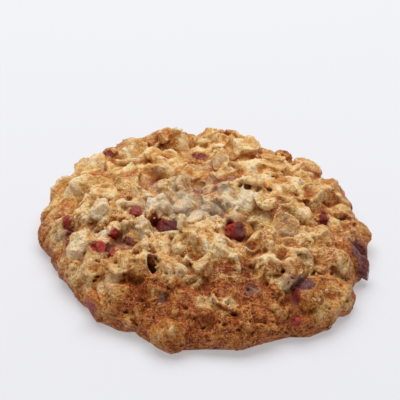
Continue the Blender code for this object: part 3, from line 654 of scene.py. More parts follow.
def read(items, name, width=3, kind=float):
    """One property of all these vertices or edges, as an array with a row for each."""
    values = np.empty(len(items) * width, kind)
    items.foreach_get(name, values)
    return values.reshape(-1, width)


def points_of(thing):
    return read(thing.data.vertices, "co")


def normals_of(thing):
    return read(thing.data.vertices, "normal")


def edges_of(thing):
    return read(thing.data.edges, "vertices", 2, np.int32)


def move_points(thing, points):
    """Gives the object's vertices these places."""
    thing.data.vertices.foreach_set("co", np.asarray(points, np.float32).ravel())
    thing.data.update()


def joined(name, shapes):
    """One object of many (points, faces) shapes."""
    points, faces, start = [], [], 0
    for corners, sides in shapes:
        points.append(corners)
        faces.append(np.asarray(sides) + start)
        start += len(corners)
    mesh = bpy.data.meshes.new(name)
    mesh.from_pydata(np.concatenate(points), [], np.concatenate(faces).tolist())
    mesh.update()
    made = bpy.data.objects.new(name, mesh)
    bpy.context.scene.collection.objects.link(made)
    return made


def template(add, **sizes):
    """A primitive's points and triangles, for copying."""
    deselect()
    add(**sizes)
    made = bpy.context.object
    bpy.ops.object.mode_set(mode="EDIT")
    bpy.ops.mesh.select_all(action="SELECT")
    bpy.ops.mesh.quads_convert_to_tris()
    bpy.ops.object.mode_set(mode="OBJECT")
    shape = points_of(made), np.array([tuple(face.vertices) for face in made.data.polygons])
    bpy.data.objects.remove(made)
    return shape


def attribute(thing, name, values):
    """Gives the object's vertices a value each, for its material to read."""
    layer = thing.data.attributes.new(name, "FLOAT", "POINT")
    layer.data.foreach_set("value", np.asarray(values, np.float32))


def apply(thing, kind, **values):
    """Adds a modifier with these values and applies it."""
    activate(thing)
    modifier = thing.modifiers.new(kind.lower(), kind)
    for key, value in values.items():
        setattr(modifier, key, value)
    bpy.ops.object.modifier_apply(modifier=modifier.name)


def placed(points, place):
    """The points, turned and moved by the matrix."""
    turn = np.array(place)
    return points @ turn[:3, :3].T + turn[:3, 3]


def smoothstep(low, high, values):
    """0 up to low, 1 from high on, and an even rise between them."""
    t = np.clip((values - low) / (high - low), 0.0, 1.0)
    return t * t * (3.0 - 2.0 * t)


# --- Dough --------------------------------------------------------------------------------


def oat_places(draw):
    """(angle, reach) of each oat that the solid has."""
    for i in range(TOP_OATS):
        share = math.sqrt((i + 0.5) / TOP_OATS) * 0.965
        angle = i * GOLDEN_ANGLE + draw.uniform(-0.04, 0.04)
        yield angle, reach_at(share)
    for i in range(RIM_OATS):
        angle = 2 * math.pi * (i + draw.uniform(0.2, 0.8)) / RIM_OATS
        yield angle, draw.uniform(0.92, 1.2)


def clear_of_berries(point, margin):
    return all(np.linalg.norm(point - middle) > reach + margin for _, _, middle, reach in BERRIES)


class Piece:
    """Something baked into the crust: where it lies, its half sizes and how pale it is."""

    claim = 1.0  # how far it colours the dough beside it

    def __init__(self, place, half, tone, points, faces):
        self.place = place
        self.half = half
        self.tone = tone
        self.shape = placed(points, place), faces


def oat_piece(place, length, width, thickness, bend, edge, tone, disc):
    """A rolled oat from a flat disc of radius 1 and thickness 1."""
    flat, faces = disc
    turn = np.arctan2(flat[:, 1], flat[:, 0]) / (2 * math.pi) % 1.0 * len(edge)
    first = np.floor(turn).astype(int) % len(edge)
    part = turn - np.floor(turn)
    edge = np.array(edge)
    ragged = edge[first] * (1 - part) + edge[(first + 1) % len(edge)] * part
    out = np.hypot(flat[:, 0], flat[:, 1]) * ragged
    x = flat[:, 0] * ragged * length / 2
    y = flat[:, 1] * ragged * width / 2
    z = bend * out**2 + flat[:, 2] * thickness
    half = np.array((length / 2, width / 2, thickness / 2 + abs(bend) / 2 + 0.3 * MM))
    return Piece(place, half, tone, np.stack((x, y, z), -1), faces)


def solid_oats(disc):
    """The oats that the solid has."""
    draw = random.Random(SEED)
    drawn = []
    for angle, reach in oat_places(draw):
        size = 1.0 + draw.uniform(-OAT_SIZE_SPREAD, OAT_SIZE_SPREAD)
        length, width = OAT_LENGTH * size, OAT_WIDTH * size * draw.uniform(0.85, 1.1)
        tilt = math.radians(draw.uniform(*OAT_TILT))
        heading = draw.uniform(0.0, 2 * math.pi)
        bend = OAT_BEND * draw.uniform(-1.0, 0.35)
        edge = [1.0 + draw.uniform(-OAT_RAGGED, OAT_RAGGED) for _ in range(OAT_SIDES)]
        drawn.append((angle, reach, length, width, tilt, heading, bend, edge))
    spots, normals = crust_spots([row[0] for row in drawn], [row[1] for row in drawn])
    found = []
    for number, (row, spot, normal) in enumerate(zip(drawn, spots, normals)):
        angle, reach, length, width, tilt, heading, bend, edge = row
        middle = spot + normal * OAT_PROUD
        if middle[2] < length / 2 * 0.8 or not clear_of_berries(middle, length / 2):
            continue
        if number % BAND_OATS and even_band(angle, reach) > 0.5:
            continue
        place = Matrix.Translation(middle) @ facing(normal, heading, tilt)
        tone = 0.15 + 0.5 * ((angle * 7.7) % 1.0)
        tone += (0.95 - tone) * 0.85 * browned(spot[None])[0]
        thickness = OAT_THICKNESS * 0.8
        found.append(oat_piece(place, length, width, thickness, bend, edge, tone, disc))
    return found


def crust_scatter(count, draw, most_reach):
    """Evenly spread places on the crust as (spot, normal) pairs."""
    angles, reaches = [], []
    for i in range(count):
        share = math.sqrt((i + draw.random()) / count) * most_reach
        angles.append(draw.uniform(0.0, 2 * math.pi))
        past_rim = 1.0 + (share - 1.0) * 5.0
        reaches.append(reach_at(share) if share < 1.0 else past_rim)
    return zip(*crust_spots(angles, reaches))


def browned(points):
    """How well baked the crust is at each point: 1 low on the rim, and all up the front."""
    plan = points[:, :2]
    angle = np.arctan2(plan[:, 1], plan[:, 0])
    share = np.hypot(plan[:, 0], plan[:, 1]) / rim_radius(angle)
    front = smoothstep(0.2, 1.0, -np.sin(angle))
    start = BROWN_START - BROWN_FRONT * front
    uneven = 0.09 * smooth_noise(points, 6.0 * MM, (9.0, 1.0, 4.0))
    uneven += 0.05 * smooth_noise(points, 2.5 * MM, (2.0, 5.0, 1.0))
    strength = 0.4 + 0.6 * smoothstep(0.35, 0.85, -np.sin(angle))
    strength = np.maximum(strength, 1.0 - 0.6 * smoothstep(*BROWN_HEIGHTS, points[:, 2]))
    return strength * smoothstep(start, start + BROWN_EDGE, share + uneven)


def buried_oats(count, disc):
    """Smaller oats, tipped every way and sunk in the crust."""
    draw, found = random.Random(BURIED_SEED), []
    for spot, normal in crust_scatter(count, draw, 1.02):
        length = draw.uniform(*BURIED_LENGTH) * MM
        width = length * draw.uniform(*BURIED_WIDTH)
        tilt = math.radians(5.0 + 50.0 * draw.random() ** 2)
        heading = draw.uniform(0.0, 2 * math.pi)
        sink = draw.uniform(*BURIED_SINK) * MM
        bend = draw.uniform(*BURIED_BEND) * MM
        edge = [1.0 + draw.uniform(-0.3, 0.2) for _ in range(BURIED_SIDES)]
        thickness = draw.uniform(*BURIED_THICKNESS) * MM
        tone, keep = draw.random(), draw.random()
        baked = browned(spot[None])[0]
        if keep < 0.85 * baked or spot[2] < length * 0.5:
            continue
        if not clear_of_berries(spot, length * 0.28):
            continue
        place = Matrix.Translation(spot + normal * sink) @ facing(normal, heading, tilt)
        tone = 0.05 + 0.6 * tone + 0.35 * baked
        found.append(oat_piece(place, length, width, thickness, bend, edge, tone, disc))
    return found


def drawn_way(draw):
    """A direction, with none likelier than another."""
    return unit(np.array([draw.gauss(0.0, 1.0) for _ in range(3)]))


def drawn_stretch(draw, low, high):
    """How much longer or shorter something is along each axis."""
    return np.array([draw.uniform(low, high) for _ in range(3)])


def chunk(ball, draw):
    """A ball cut flat on several sides, as a torn crumb is."""
    shape = ball.copy()
    for _ in range(CHUNK_CUTS):
        way = drawn_way(draw)
        over = np.maximum(0.0, shape @ way - draw.uniform(0.25, 0.80))
        shape -= over[:, None] * way
    return shape


def knob(ball, faces, place, half, tone, number, chunks=4):
    """A knob of dough: torn chunks baked together, the first of them in the middle."""
    draw, points, sides = random.Random(number), [], []
    for i in range(chunks):
        size = draw.uniform(*CHUNK_SIZE) if i else MIDDLE_CHUNK
        way = drawn_way(draw)
        spot = way * draw.uniform(0.6, 1.0) * (1.1 - size) if i else 0.0
        points.append(chunk(ball, draw) * size + spot)
        sides.append(faces + i * len(ball))
    points = np.concatenate(points)
    uneven = 1.0 + 0.25 * smooth_noise(points, 0.6, (number * 3.7, 0.0, 0.0))
    return Piece(place, half, tone, points * uneven[:, None] * half, np.concatenate(sides))


def shown_knobs(ball, faces):
    """The knobs and whole oats of KNOBS, each at its own place."""
    found = []
    for number, (x, y, wide, deep, rise, tone) in enumerate(KNOBS):
        reach, spot, normal = crust_at(x, y)
        wide, deep = wide / 2, min(deep, 1.5 * wide) / 2
        rise *= 1.4 - 1.0 * smoothstep(0.80, 0.95, reach)
        thick = min(wide, deep) * 0.6 + rise * 0.7
        half = np.array((wide, deep, thick)) * MM
        middle = spot + normal * (rise - thick) * MM
        uphill = unit(np.cross(normal, (1.0, 0.0, 0.0)))
        turn = Matrix((np.cross(uphill, normal), uphill, normal)).transposed().to_4x4()
        place = Matrix.Translation(middle) @ turn
        found.append(knob(ball, faces, place, half, tone, number + 300))
        found[-1].claim = KNOB_CLAIM
    return found


def berry_covers(ball, faces):
    """The dough over each berry, with knobs round its edges."""
    draw, found = random.Random(COVER_SEED), []
    for number, (place, size, _, _) in enumerate(BERRIES):
        half, tone = size / 2 + COVER_DEPTH, BERRY_COVERS[number][0]
        found.append(knob(ball, faces, place, half, tone, 700 + number, 1))
        start = draw.uniform(0.0, 2 * math.pi)
        for i in range(RIM_KNOBS):
            turn = start + 2 * math.pi * i / RIM_KNOBS + draw.uniform(-0.3, 0.3)
            radius = draw.uniform(*RIM_KNOB_RADIUS) * MM
            stretch = drawn_stretch(draw, 0.8, 1.5)
            out = draw.uniform(0.46, 0.60)
            heading, tone = draw.uniform(0.0, 2 * math.pi), draw.uniform(0.1, 0.6)
            spot = Vector((size[0] * out * math.cos(turn), size[1] * out * math.sin(turn), 0.0))
            in_front = (place @ spot).y < place.translation.y - 0.4 * MM
            spot.z = size[2] * draw.uniform(0.05, 0.30) * (0.1 if in_front else 1.0)
            radius *= 0.6 if in_front else 1.0
            lie = place @ Matrix.Translation(spot) @ Matrix.Rotation(heading, 4, "Z")
            x, y, z = lie.translation
            if z < 5.0 * MM or math.hypot(x, y) > rim_radius(math.atan2(y, x)) - 2.0 * MM:
                continue
            baked = browned(np.array(lie.translation)[None])[0]
            tone += (BAKED_KNOB_TONE - tone) * baked
            found.append(knob(ball, faces, lie, stretch * radius, tone, 900 + number * 9 + i))
    return found


def scattered_knobs(count, ball, faces):
    """Smaller knobs of dough all over the crust."""
    draw, found = random.Random(NUGGET_SEED), []
    for number, (spot, normal) in enumerate(crust_scatter(count, draw, 1.05)):
        radius = draw.uniform(*NUGGET_RADIUS) * MM
        stretch = drawn_stretch(draw, 0.7, 1.35)
        heading = draw.uniform(0.0, 2 * math.pi)
        sink = radius * draw.uniform(-0.1, 0.7)
        tone, keep = draw.random(), draw.random()
        baked = browned(spot[None])[0]
        if keep < 0.6 * baked or spot[2] < radius:
            continue
        if not clear_of_berries(spot, radius * 0.5):
            continue
        place = Matrix.Translation(spot - normal * sink) @ facing(normal, heading)
        tone = 0.1 + 0.7 * tone
        tone += (BAKED_KNOB_TONE - tone) * 0.8 * baked
        found.append(knob(ball, faces, place, stretch * radius, tone, number, 3))
    return found


def within_rim(piece):
    """Whether a piece keeps to the cookie's outline."""
    points = piece.shape[0]
    out = np.hypot(points[:, 0], points[:, 1])
    return (out - rim_radius(np.arctan2(points[:, 1], points[:, 0]))).max() < RIM_OVERHANG


def dough_core():
    """The dome with its clumps, as a sphere drawn down over it."""
    deselect()
    bpy.ops.mesh.primitive_uv_sphere_add(segments=CORE_SEGMENTS, ring_count=CORE_RINGS)
    core = bpy.context.object
    ball = points_of(core)
    angle = np.arctan2(ball[:, 1], ball[:, 0])
    down = np.arccos(np.clip(ball[:, 2], -1.0, 1.0)) / math.pi
    dome_part, side_part = 0.70, 0.14
    reach = np.clip(down / dome_part, 0.0, 1.0)
    reach += np.clip((down - dome_part) / side_part, 0.0, 1.0)
    points = crust_points(angle, reach)
    inward = np.clip((down - dome_part - side_part) / (1 - dome_part - side_part), 0.0, 1.0)
    points[:, :2] *= (1.0 - inward)[:, None]
    sunk = CORE_SUNK * (1.0 - 0.75 * browned(points)) * (points[:, 2] > BULGE_HEIGHT)
    points -= dome_normals(angle, reach) * sunk[:, None]
    move_points(core, points)
    return core


def neighbour_mean(count, edges, values, rounds):
    """Each point's value averaged with its neighbours', a number of times."""
    a, b = edges[:, 0], edges[:, 1]
    share = np.bincount(a, minlength=count) + np.bincount(b, minlength=count)
    for _ in range(rounds):
        total = np.zeros_like(values)
        for axis in range(values.shape[1]):
            column = values[:, axis]
            total[:, axis] = np.bincount(a, column[b], count) + np.bincount(b, column[a], count)
        values = 0.5 * values + 0.5 * total / np.maximum(share, 1)[:, None]
    return values


def pore_depth(points, width, size, seed):
    """Round pores, one to most cells of the given width: 1 in the middle, 0 outside."""
    places = (points / width + seed).tolist()
    depth = np.zeros(len(points))
    for i, place in enumerate(places):
        distances, seeds = noise.voronoi(place)
        own = noise.cell(seeds[0] * 31.7)
        radius = size * max(0.0, own)
        if distances[0] < radius:
            depth[i] = 1.0 - distances[0] / radius
    return depth


def vector_noise(points, width, shift):
    """Smooth noise vectors of up to about 1, in blobs of about the given width."""
    places = (points / width + np.array(shift)).tolist()
    return np.array([noise.noise_vector(place) for place in places])


def off_place(points, x, y, wide, deep):
    """How far off each point is in plan, with 1 at these half sizes, all in mm."""
    return np.linalg.norm((points[:, :2] / MM - (x, y)) / (wide, deep), axis=1)


def spot_rise_and_shade(points):
    """How far the crust rises and how much browner it is by SPOTS, at each point, browner in the
    dips as painted shade.
    """
    rise, tone = np.zeros(len(points)), np.zeros(len(points))
    uneven = 0.25 * smooth_noise(points, 2.0 * MM, (8.0, 1.0, 5.0))
    above = smoothstep(2.0 * MM, 4.0 * MM, points[:, 2])
    for *place, height, shade in SPOTS:
        share = above * (1.0 - smoothstep(0.3, 1.15, off_place(points, *place) + uneven))
        rise += share * height * MM
        tone += share * shade
    return rise, tone


def seen(points):
    """Each point's place across and up, in mm, as it is seen in front of the cookie."""
    angle, away = SEEN_FROM
    rise, back = math.sin(angle), math.cos(angle)
    nearer = away / (away + points[:, 1] * back - points[:, 2] * rise) / MM
    return np.stack((points[:, 0], points[:, 1] * rise + points[:, 2] * back), -1) * nearer[:, None]


def bare_skin(points):
    """How far off the nearest bare skin is, 1 at its edge, and how bright (painted glow) and dusty
    (with painted sheen) that is.
    """
    off, look = np.full(len(points), 9.0), np.zeros((len(points), 2))
    total = np.full(len(points), 1e-9)
    places = seen(points)
    uneven = 0.30 * smooth_noise(points, 1.6 * MM, (3.0, 8.0, 1.0))
    uneven += 0.15 * smooth_noise(points, 0.7 * MM, (1.0, 2.0, 7.0))
    for number, (place, size, middle, reach) in enumerate(BERRIES, 1):
        near = np.flatnonzero(np.linalg.norm(points - middle, axis=1) < reach + 2.5 * MM)
        found = [
            (row[5:], np.hypot(*((places[near] - row[1:3]) / row[3:5]).T))
            for row in SKIN
            if row[0] == number
        ]
        opened = BERRY_COVERS[number - 1][1]
        if opened:
            local = placed(points[near], place.inverted()) / size * 2.0 / opened
            found.append(((0.8, 0.4), np.hypot(local[:, 0], local[:, 1])))
        for shine, away in found:
            away = away + uneven[near]
            off[near] = np.minimum(off[near], away)
            share = np.exp(-2.5 * away * np.abs(away))
            total[near] += share
            look[near] += share[:, None] * shine
    return off, look / total[:, None]


def open_berries(points):
    """Presses the dough down where a berry's skin shows."""
    share = 1.0 - smoothstep(0.8, 1.15, bare_skin(points)[0])
    for place, size, middle, reach in BERRIES:
        near = np.flatnonzero((share > 0) & (np.linalg.norm(points - middle, axis=1) < reach + MM))
        local = placed(points[near], place.inverted())
        pressed = np.minimum(local[:, 2], -0.1 * size[2])
        local[:, 2] += (pressed - local[:, 2]) * share[near]
        points[near] = placed(local, place)
    return points


def behind(points):
    """How far back each point lies, where the crust is softer: 0 in front to 1."""
    return smoothstep(*SOFT_BACK, points[:, 1])


def roughen(dough):
    """Gives the crust its crumb: torn out of shape, then knobbly, grainy and pitted."""
    points, out = points_of(dough), normals_of(dough)
    out = unit(neighbour_mean(len(points), edges_of(dough), out, 25))
    points = open_berries(points + out * spot_rise_and_shade(points)[0][:, None])
    move_points(dough, points)
    calm = smoothstep(*FLAT_EDGE, points[:, 2])[:, None]
    normals = normals_of(dough)
    edges, back = edges_of(dough), behind(points)[:, None]
    coated = neighbour_mean(len(points), edges, points, COATING)
    coated += back * (neighbour_mean(len(points), edges, coated, COATING // 2) - coated)
    fill = ((coated - points) * normals).sum(1)[:, None]
    points = points + (coated - points) * calm * np.where(fill > 0.0, 1.0, COATING_ROUNDS)
    warp = 1.0 * vector_noise(points, 5.0 * MM, (1.0, 4.0, 2.0))
    warp += 0.35 * vector_noise(points, 2.2 * MM, (5.0, 0.0, 3.0))
    move_points(dough, points + warp * calm * MM)
    calm = calm[:, 0]
    baked = browned(points_of(dough))
    calm *= (1.0 - 0.2 * baked) * (1.0 - 0.15 * behind(points))
    torn = smoothstep(0.0, 0.3, smooth_noise(points, 4.5 * MM, (0.0, 9.0, 4.0)))
    for depth, width in TORN_LAYERS:
        points, normals = points_of(dough), normals_of(dough)
        normals = unit(neighbour_mean(len(points), edges_of(dough), normals, 2))
        knobs = np.abs(smooth_noise(points, width * MM, (width, 7.1, 2.3))) * 1.6 - 0.4
        knobs *= 1.0 - 2.0 * torn
        move_points(dough, points + normals * (knobs * depth * MM * calm)[:, None])
    points, normals = points_of(dough), normals_of(dough)
    baked = smoothstep(0.2, 0.7, baked)
    bent = points + 0.5 * MM * vector_noise(points, 1.5 * MM, (1.0, 1.0, 6.0))
    pores = pore_depth(bent * (0.8, 0.8, 1.3), PORE_CELL * MM, PORE_SHARE, 4.0)
    pores = pores * (0.1 + 0.9 * baked)
    calm = smoothstep(*FLAT_EDGE, points[:, 2])
    move_points(dough, points - normals * (pores * PORE_DEPTH * MM * calm)[:, None])


def tones(points, pieces):
    """Each point's tone: its own piece's, or that of the dough between the pieces."""
    nearest, tone = np.full(len(points), PIECE_EDGE[1]), np.zeros(len(points))
    for piece in pieces:
        span = piece.half.max() * PIECE_EDGE[1]
        away = np.abs(points - np.array(piece.place.translation)).max(1)
        near = np.flatnonzero(away < span)
        local = placed(points[near], piece.place.inverted())
        off = np.linalg.norm(local / piece.half, axis=1) / piece.claim
        closer = off < nearest[near]
        nearest[near[closer]] = off[closer]
        tone[near[closer]] = piece.tone
    between = DOUGH_TONE + 0.25 * smooth_noise(points, 5.0 * MM, (3.0, 3.0, 0.0))
    between = between + (RIM_TONE - between) * browned(points)
    cover = 1.0 - smoothstep(*PIECE_EDGE, nearest)
    return between + (tone - between) * cover


def bloom_and_sheen_at(points):
    """The strength of the dusty bloom with its painted sheen, and how pale it is, each from 0 to 1.
    """
    uneven = 0.5 * smooth_noise(points * (1.0, 2.0, 1.0), 4.0 * MM, (6.0, 6.0, 2.0))
    bloom_sheen, pale = np.zeros(len(points)), np.zeros(len(points))
    for *place, strength, paleness in HAZE_AND_SHEEN:
        share = strength * (1.0 - smoothstep(0.3, 1.1, off_place(points, *place) + uneven))
        bloom_sheen, pale = np.maximum(bloom_sheen, share), np.maximum(pale, share * paleness)
    return bloom_sheen, pale


def colour_guides(dough, pieces):
    """Attributes that the dough's colours follow."""
    points, normals = points_of(dough), normals_of(dough)
    edges = edges_of(dough)
    near = neighbour_mean(len(points), edges, points, FINE_ROUNDS)
    far = neighbour_mean(len(points), edges, near, BROAD_ROUNDS)
    fine = ((points - near) * normals).sum(1) / FINE_HEIGHT
    broad = ((points - far) * normals).sum(1) / BROAD_HEIGHT
    baked, (off, look), (bloom_sheen, pale) = browned(points), bare_skin(points), bloom_and_sheen_at(points)
    # Painted shade: browner low on the browned rim, near the table.
    low_rim_shade = 0.15 * baked * (1.0 - smoothstep(2.0 * MM, 8.0 * MM, points[:, 2]))
    guides = {
        "fine_rise": np.clip(fine, -MOST_RISE, MOST_RISE),
        "broad_rise": np.clip(broad, -MOST_RISE, MOST_RISE),
        "baked": baked,
        # the tone holds painted shade in the dips of SPOTS and low on the browned rim
        "tone": tones(points, pieces) + spot_rise_and_shade(points)[1] + low_rim_shade,
        "skin": 1.0 - smoothstep(0.85, 1.15, off),
        "stain": 1.0 - smoothstep(0.9, 2.5, off),
        "bright": look[:, 0],
        "dust_and_sheen": look[:, 1],
        "sheen_haze": bloom_sheen,
        "pale_sheen_haze": pale,
        "crisp": 1.0 - behind(points),
    }
    for name, values in guides.items():
        attribute(dough, name, values)


def flatten_base(dough):
    """Sets the underside on the table, and thins the mesh there."""
    points = points_of(dough)
    points[:, 2] = np.where(points[:, 2] < 0.25 * MM, 0.0, points[:, 2])
    move_points(dough, points)
    under = dough.vertex_groups.new(name="under")
    low = np.flatnonzero(points[:, 2] <= 0.0)
    under.add(low.tolist(), 1.0, "REPLACE")
    apply(dough, "DECIMATE", ratio=0.72, vertex_group="under", vertex_group_factor=10.0)
    dough.vertex_groups.clear()


def drop_loose(thing):
    """Leaves only the body under the highest point, without specks or closed hollows in it."""
    activate(thing)
    bpy.ops.object.mode_set(mode="EDIT")
    bpy.ops.mesh.select_all(action="DESELECT")
    bpy.ops.object.mode_set(mode="OBJECT")
    thing.data.vertices[int(np.argmax(points_of(thing)[:, 2]))].select = True
    bpy.ops.object.mode_set(mode="EDIT")
    bpy.ops.mesh.select_linked()
    bpy.ops.mesh.select_all(action="INVERT")
    bpy.ops.mesh.delete(type="VERT")
    bpy.ops.object.mode_set(mode="OBJECT")


def make_dough(settings):
    """The baked dough: core, oats and knobs made one, then torn, pitted and toned."""
    disc = template(
        bpy.ops.mesh.primitive_cylinder_add, vertices=14, radius=1.0, depth=1.0,
        end_fill_type="TRIFAN",
    )
    ball = template(bpy.ops.mesh.primitive_ico_sphere_add, subdivisions=2, radius=1.0)
    pieces = solid_oats(disc) + buried_oats(settings.buried_oats, disc)
    pieces += shown_knobs(*ball) + scattered_knobs(settings.nuggets, *ball)
    pieces += berry_covers(*ball)
    pieces = [piece for piece in pieces if within_rim(piece)]
    jumble = joined("jumble", [piece.shape for piece in pieces])
    dough = dough_core()
    dough.name = "dough"
    activate(dough)
    jumble.select_set(True)
    bpy.ops.object.join()
    apply(dough, "REMESH", mode="VOXEL", voxel_size=settings.grain)
    flatten_base(dough)
    roughen(dough)
    colour_guides(dough, pieces)
    triangles = sum(len(face.vertices) - 2 for face in dough.data.polygons)
    apply(dough, "DECIMATE", ratio=min(1.0, MOST_TRIANGLES / triangles))
    drop_loose(dough)
    finish(dough, dough_material(settings))
    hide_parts("cookie")
    return dough


def finish(thing, material):
    """Settles a piece in the frame, shades it smooth and gives it its finish."""
    move_points(thing, points_of(thing) + SETTLE)
    activate(thing)
    bpy.ops.object.shade_smooth()
    thing.data.materials.clear()
    thing.data.materials.append(material)
    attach(thing, "root")


# --- Crumbs and berries -------------------------------------------------------------------


def make_crumbs(settings, dough):
    """Small torn grains stuck to the dough, each about as brown as the place it is on."""
    points, normals = points_of(dough) - SETTLE, normals_of(dough)
    draw = random.Random(CRUMB_SEED)
    ball, faces = template(bpy.ops.mesh.primitive_ico_sphere_add, subdivisions=1, radius=1.0)
    shapes, toning = [], []
    dough_tone = read(dough.data.attributes["tone"].data, "value", 1)[:, 0]
    while len(shapes) < settings.crumbs:
        index = draw.randrange(len(points))
        radius = draw.uniform(*CRUMB_RADIUS) * MM
        stretch = drawn_stretch(draw, 0.7, 1.4)
        heading, tone = draw.uniform(0.0, 2 * math.pi), draw.uniform(*CRUMB_TONE)
        tone += dough_tone[index]
        if normals[index][2] < -0.2 or points[index][2] < 1.5 * MM:
            continue
        spot = points[index] - normals[index] * radius * CRUMB_SUNK
        place = Matrix.Translation(spot) @ facing(normals[index], heading)
        torn = np.array([draw.uniform(0.6, 1.3) for _ in ball])[:, None]
        shapes.append((placed(ball * torn * stretch * radius, place), faces))
        toning.append(np.full(len(ball), tone))
    crumbs = joined("crumbs", shapes)
    attribute(crumbs, "tone", np.concatenate(toning))
    finish(crumbs, crumb_material(settings))


def make_cranberries(settings):
    """Wrinkled dried cranberries, each in its solid's place."""
    skin = berry_material(settings)
    for number, (place, size, _, _) in enumerate(BERRIES, 1):
        deselect()
        bpy.ops.mesh.primitive_ico_sphere_add(subdivisions=5, radius=1.0)
        berry = bpy.context.object
        berry.name = berry.data.name = f"dried_cranberry_{number:02d}"
        way = unit(points_of(berry))
        pucker = smooth_noise(way, 1.0 / WRINKLES_ACROSS, (number * 7.3, 0.0, 2.1))
        bent = way + 0.4 * vector_noise(way, 0.9, (0.0, number * 2.2, 1.0))
        folds = np.abs(smooth_noise(bent * (0.6, 1.0, 1.0), 0.75, (number * 3.3, 5.0, 0.0)))
        creases = smooth_noise(bent, 0.35, (number * 1.7, 0.0, 8.0))
        out = 1.0 + WRINKLE_DEPTH * 2.0 * pucker
        out -= FOLD_DEPTH * (1 - smoothstep(0.0, 0.5, folds)) + CREASE_DEPTH * creases
        grown = way * out[:, None] * size / 2 * BERRY_SWELL + (0.0, 0.0, BERRY_LIFT)
        grown = placed(grown, place)
        plan = np.hypot(grown[:, 0], grown[:, 1])
        rim = rim_radius(np.arctan2(grown[:, 1], grown[:, 0])) + BERRY_OVERHANG
        grown[:, :2] *= np.minimum(1.0, rim / plan)[:, None]
        move_points(berry, grown)
        attribute(berry, "ridge", np.clip(folds / 0.4, 0, 1))
        off, look = bare_skin(points_of(berry))
        attribute(berry, "bright", look[:, 0])
        attribute(berry, "dust_and_sheen", look[:, 1])
        attribute(berry, "film", smoothstep(1.0, 1.4, off))
        attribute(berry, "tone", np.full(len(way), BERRY_COVERS[number - 1][0] + 0.15))
        finish(berry, skin)
        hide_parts(f"cranberry_{number:02d}")


# --- Materials ----------------------------------------------------------------------------


BERRY_STAIN = (0.36, 0.11, 0.06)


class Recipe:
    """A material, built up one node at a time."""

    def __init__(self, name):
        self.material = bpy.data.materials.new(name)
        self.material.use_nodes = True
        self.tree = self.material.node_tree
        self.shader = self.tree.nodes["Principled BSDF"]

    def add(self, kind, settings=(), inputs=(), out=0):
        node = self.tree.nodes.new("ShaderNode" + kind)
        for key, value in dict(settings).items():
            setattr(node, key, value)
        for key, value in dict(inputs).items():
            self.feed(node.inputs[key], value)
        return node.outputs[out]

    def feed(self, socket, value):
        if isinstance(value, bpy.types.NodeSocket):
            self.tree.links.new(value, socket)
        elif socket.type == "RGBA" and not isinstance(value, float):
            socket.default_value = (*value[:3], 1.0)
        else:
            socket.default_value = value

    def guide(self, name):
        return self.add("Attribute", {"attribute_name": name}, out=2)

    def millimetres(self, stretch=(1.0, 1.0, 1.0)):
        where = self.add("TexCoord", out=3)
        scale = Vector(s / MM for s in stretch)
        return self.add("Mapping", {}, {"Vector": where, "Scale": scale})

    def speckle(self, scale, detail=3.0, roughness=0.6, where=None):
        where = where or self.millimetres()
        inputs = {"Vector": where, "Scale": scale, "Detail": detail, "Roughness": roughness}
        return self.add("TexNoise", {}, inputs)

    def fade(self, value, low, high, to_low=0.0, to_high=1.0):
        inputs = {
            "Value": value, "From Min": low, "From Max": high, "To Min": to_low, "To Max": to_high
        }
        return self.add("MapRange", {"interpolation_type": "SMOOTHSTEP"}, inputs)

    def calc(self, operation, a, b=0.0):
        return self.add("Math", {"operation": operation}, {0: a, 1: b})

    def plus(self, a, b):
        return self.calc("ADD", a, b)

    def times(self, a, b):
        return self.calc("MULTIPLY", a, b)

    def mix(self, amount, first, second, how="MIX"):
        settings = {"data_type": "RGBA", "blend_type": how}
        return self.add("Mix", settings, {0: amount, 6: first, 7: second}, out=2)

    def ramp(self, tone, settings):
        """The dough's colour for a tone from 0, the palest, to 1, the brownest."""
        shades = settings.cream, settings.yellow, settings.honey, settings.amber, settings.brown
        node = self.tree.nodes.new("ShaderNodeValToRGB")
        self.feed(node.inputs[0], tone)
        stops = node.color_ramp.elements
        while len(stops) < len(shades):
            stops.new(0.5)
        for stop, place, shade in zip(stops, TONES, shades):
            stop.position, stop.color = place, (*shade, 1.0)
        return node.outputs[0]

    def skin(self, settings, grain, ridge=1.0):
        """A dried cranberry's skin, with a painted glow where light comes through, dusty with a
        painted sheen where its grain and its ridges are.
        """
        streaks = self.speckle(0.7, 3.0, 0.7, self.millimetres((1.0, 0.6, 1.6)))
        glow = self.times(self.guide("bright"), self.fade(streaks, 0.36, 0.56, 0.1, 1.15))
        colour = self.mix(glow, settings.skin, settings.bright)
        dust_sheen_amount = self.times(self.guide("dust_and_sheen"), self.fade(grain, 0.35, 0.65, 0.1, 0.9))
        return self.mix(self.times(dust_sheen_amount, ridge), colour, settings.bloom_sheen)

    def bump(self, height, distance, under=None):
        inputs = {"Height": height, "Distance": distance}
        if under:
            inputs["Normal"] = under
        return self.add("Bump", {}, inputs)

    def finish(self, colour, normal=None, **values):
        self.feed(self.shader.inputs["Base Color"], colour)
        if normal:
            self.feed(self.shader.inputs["Normal"], normal)
        for key, value in values.items():
            self.feed(self.shader.inputs[key.replace("_", " ")], value)
        return self.material


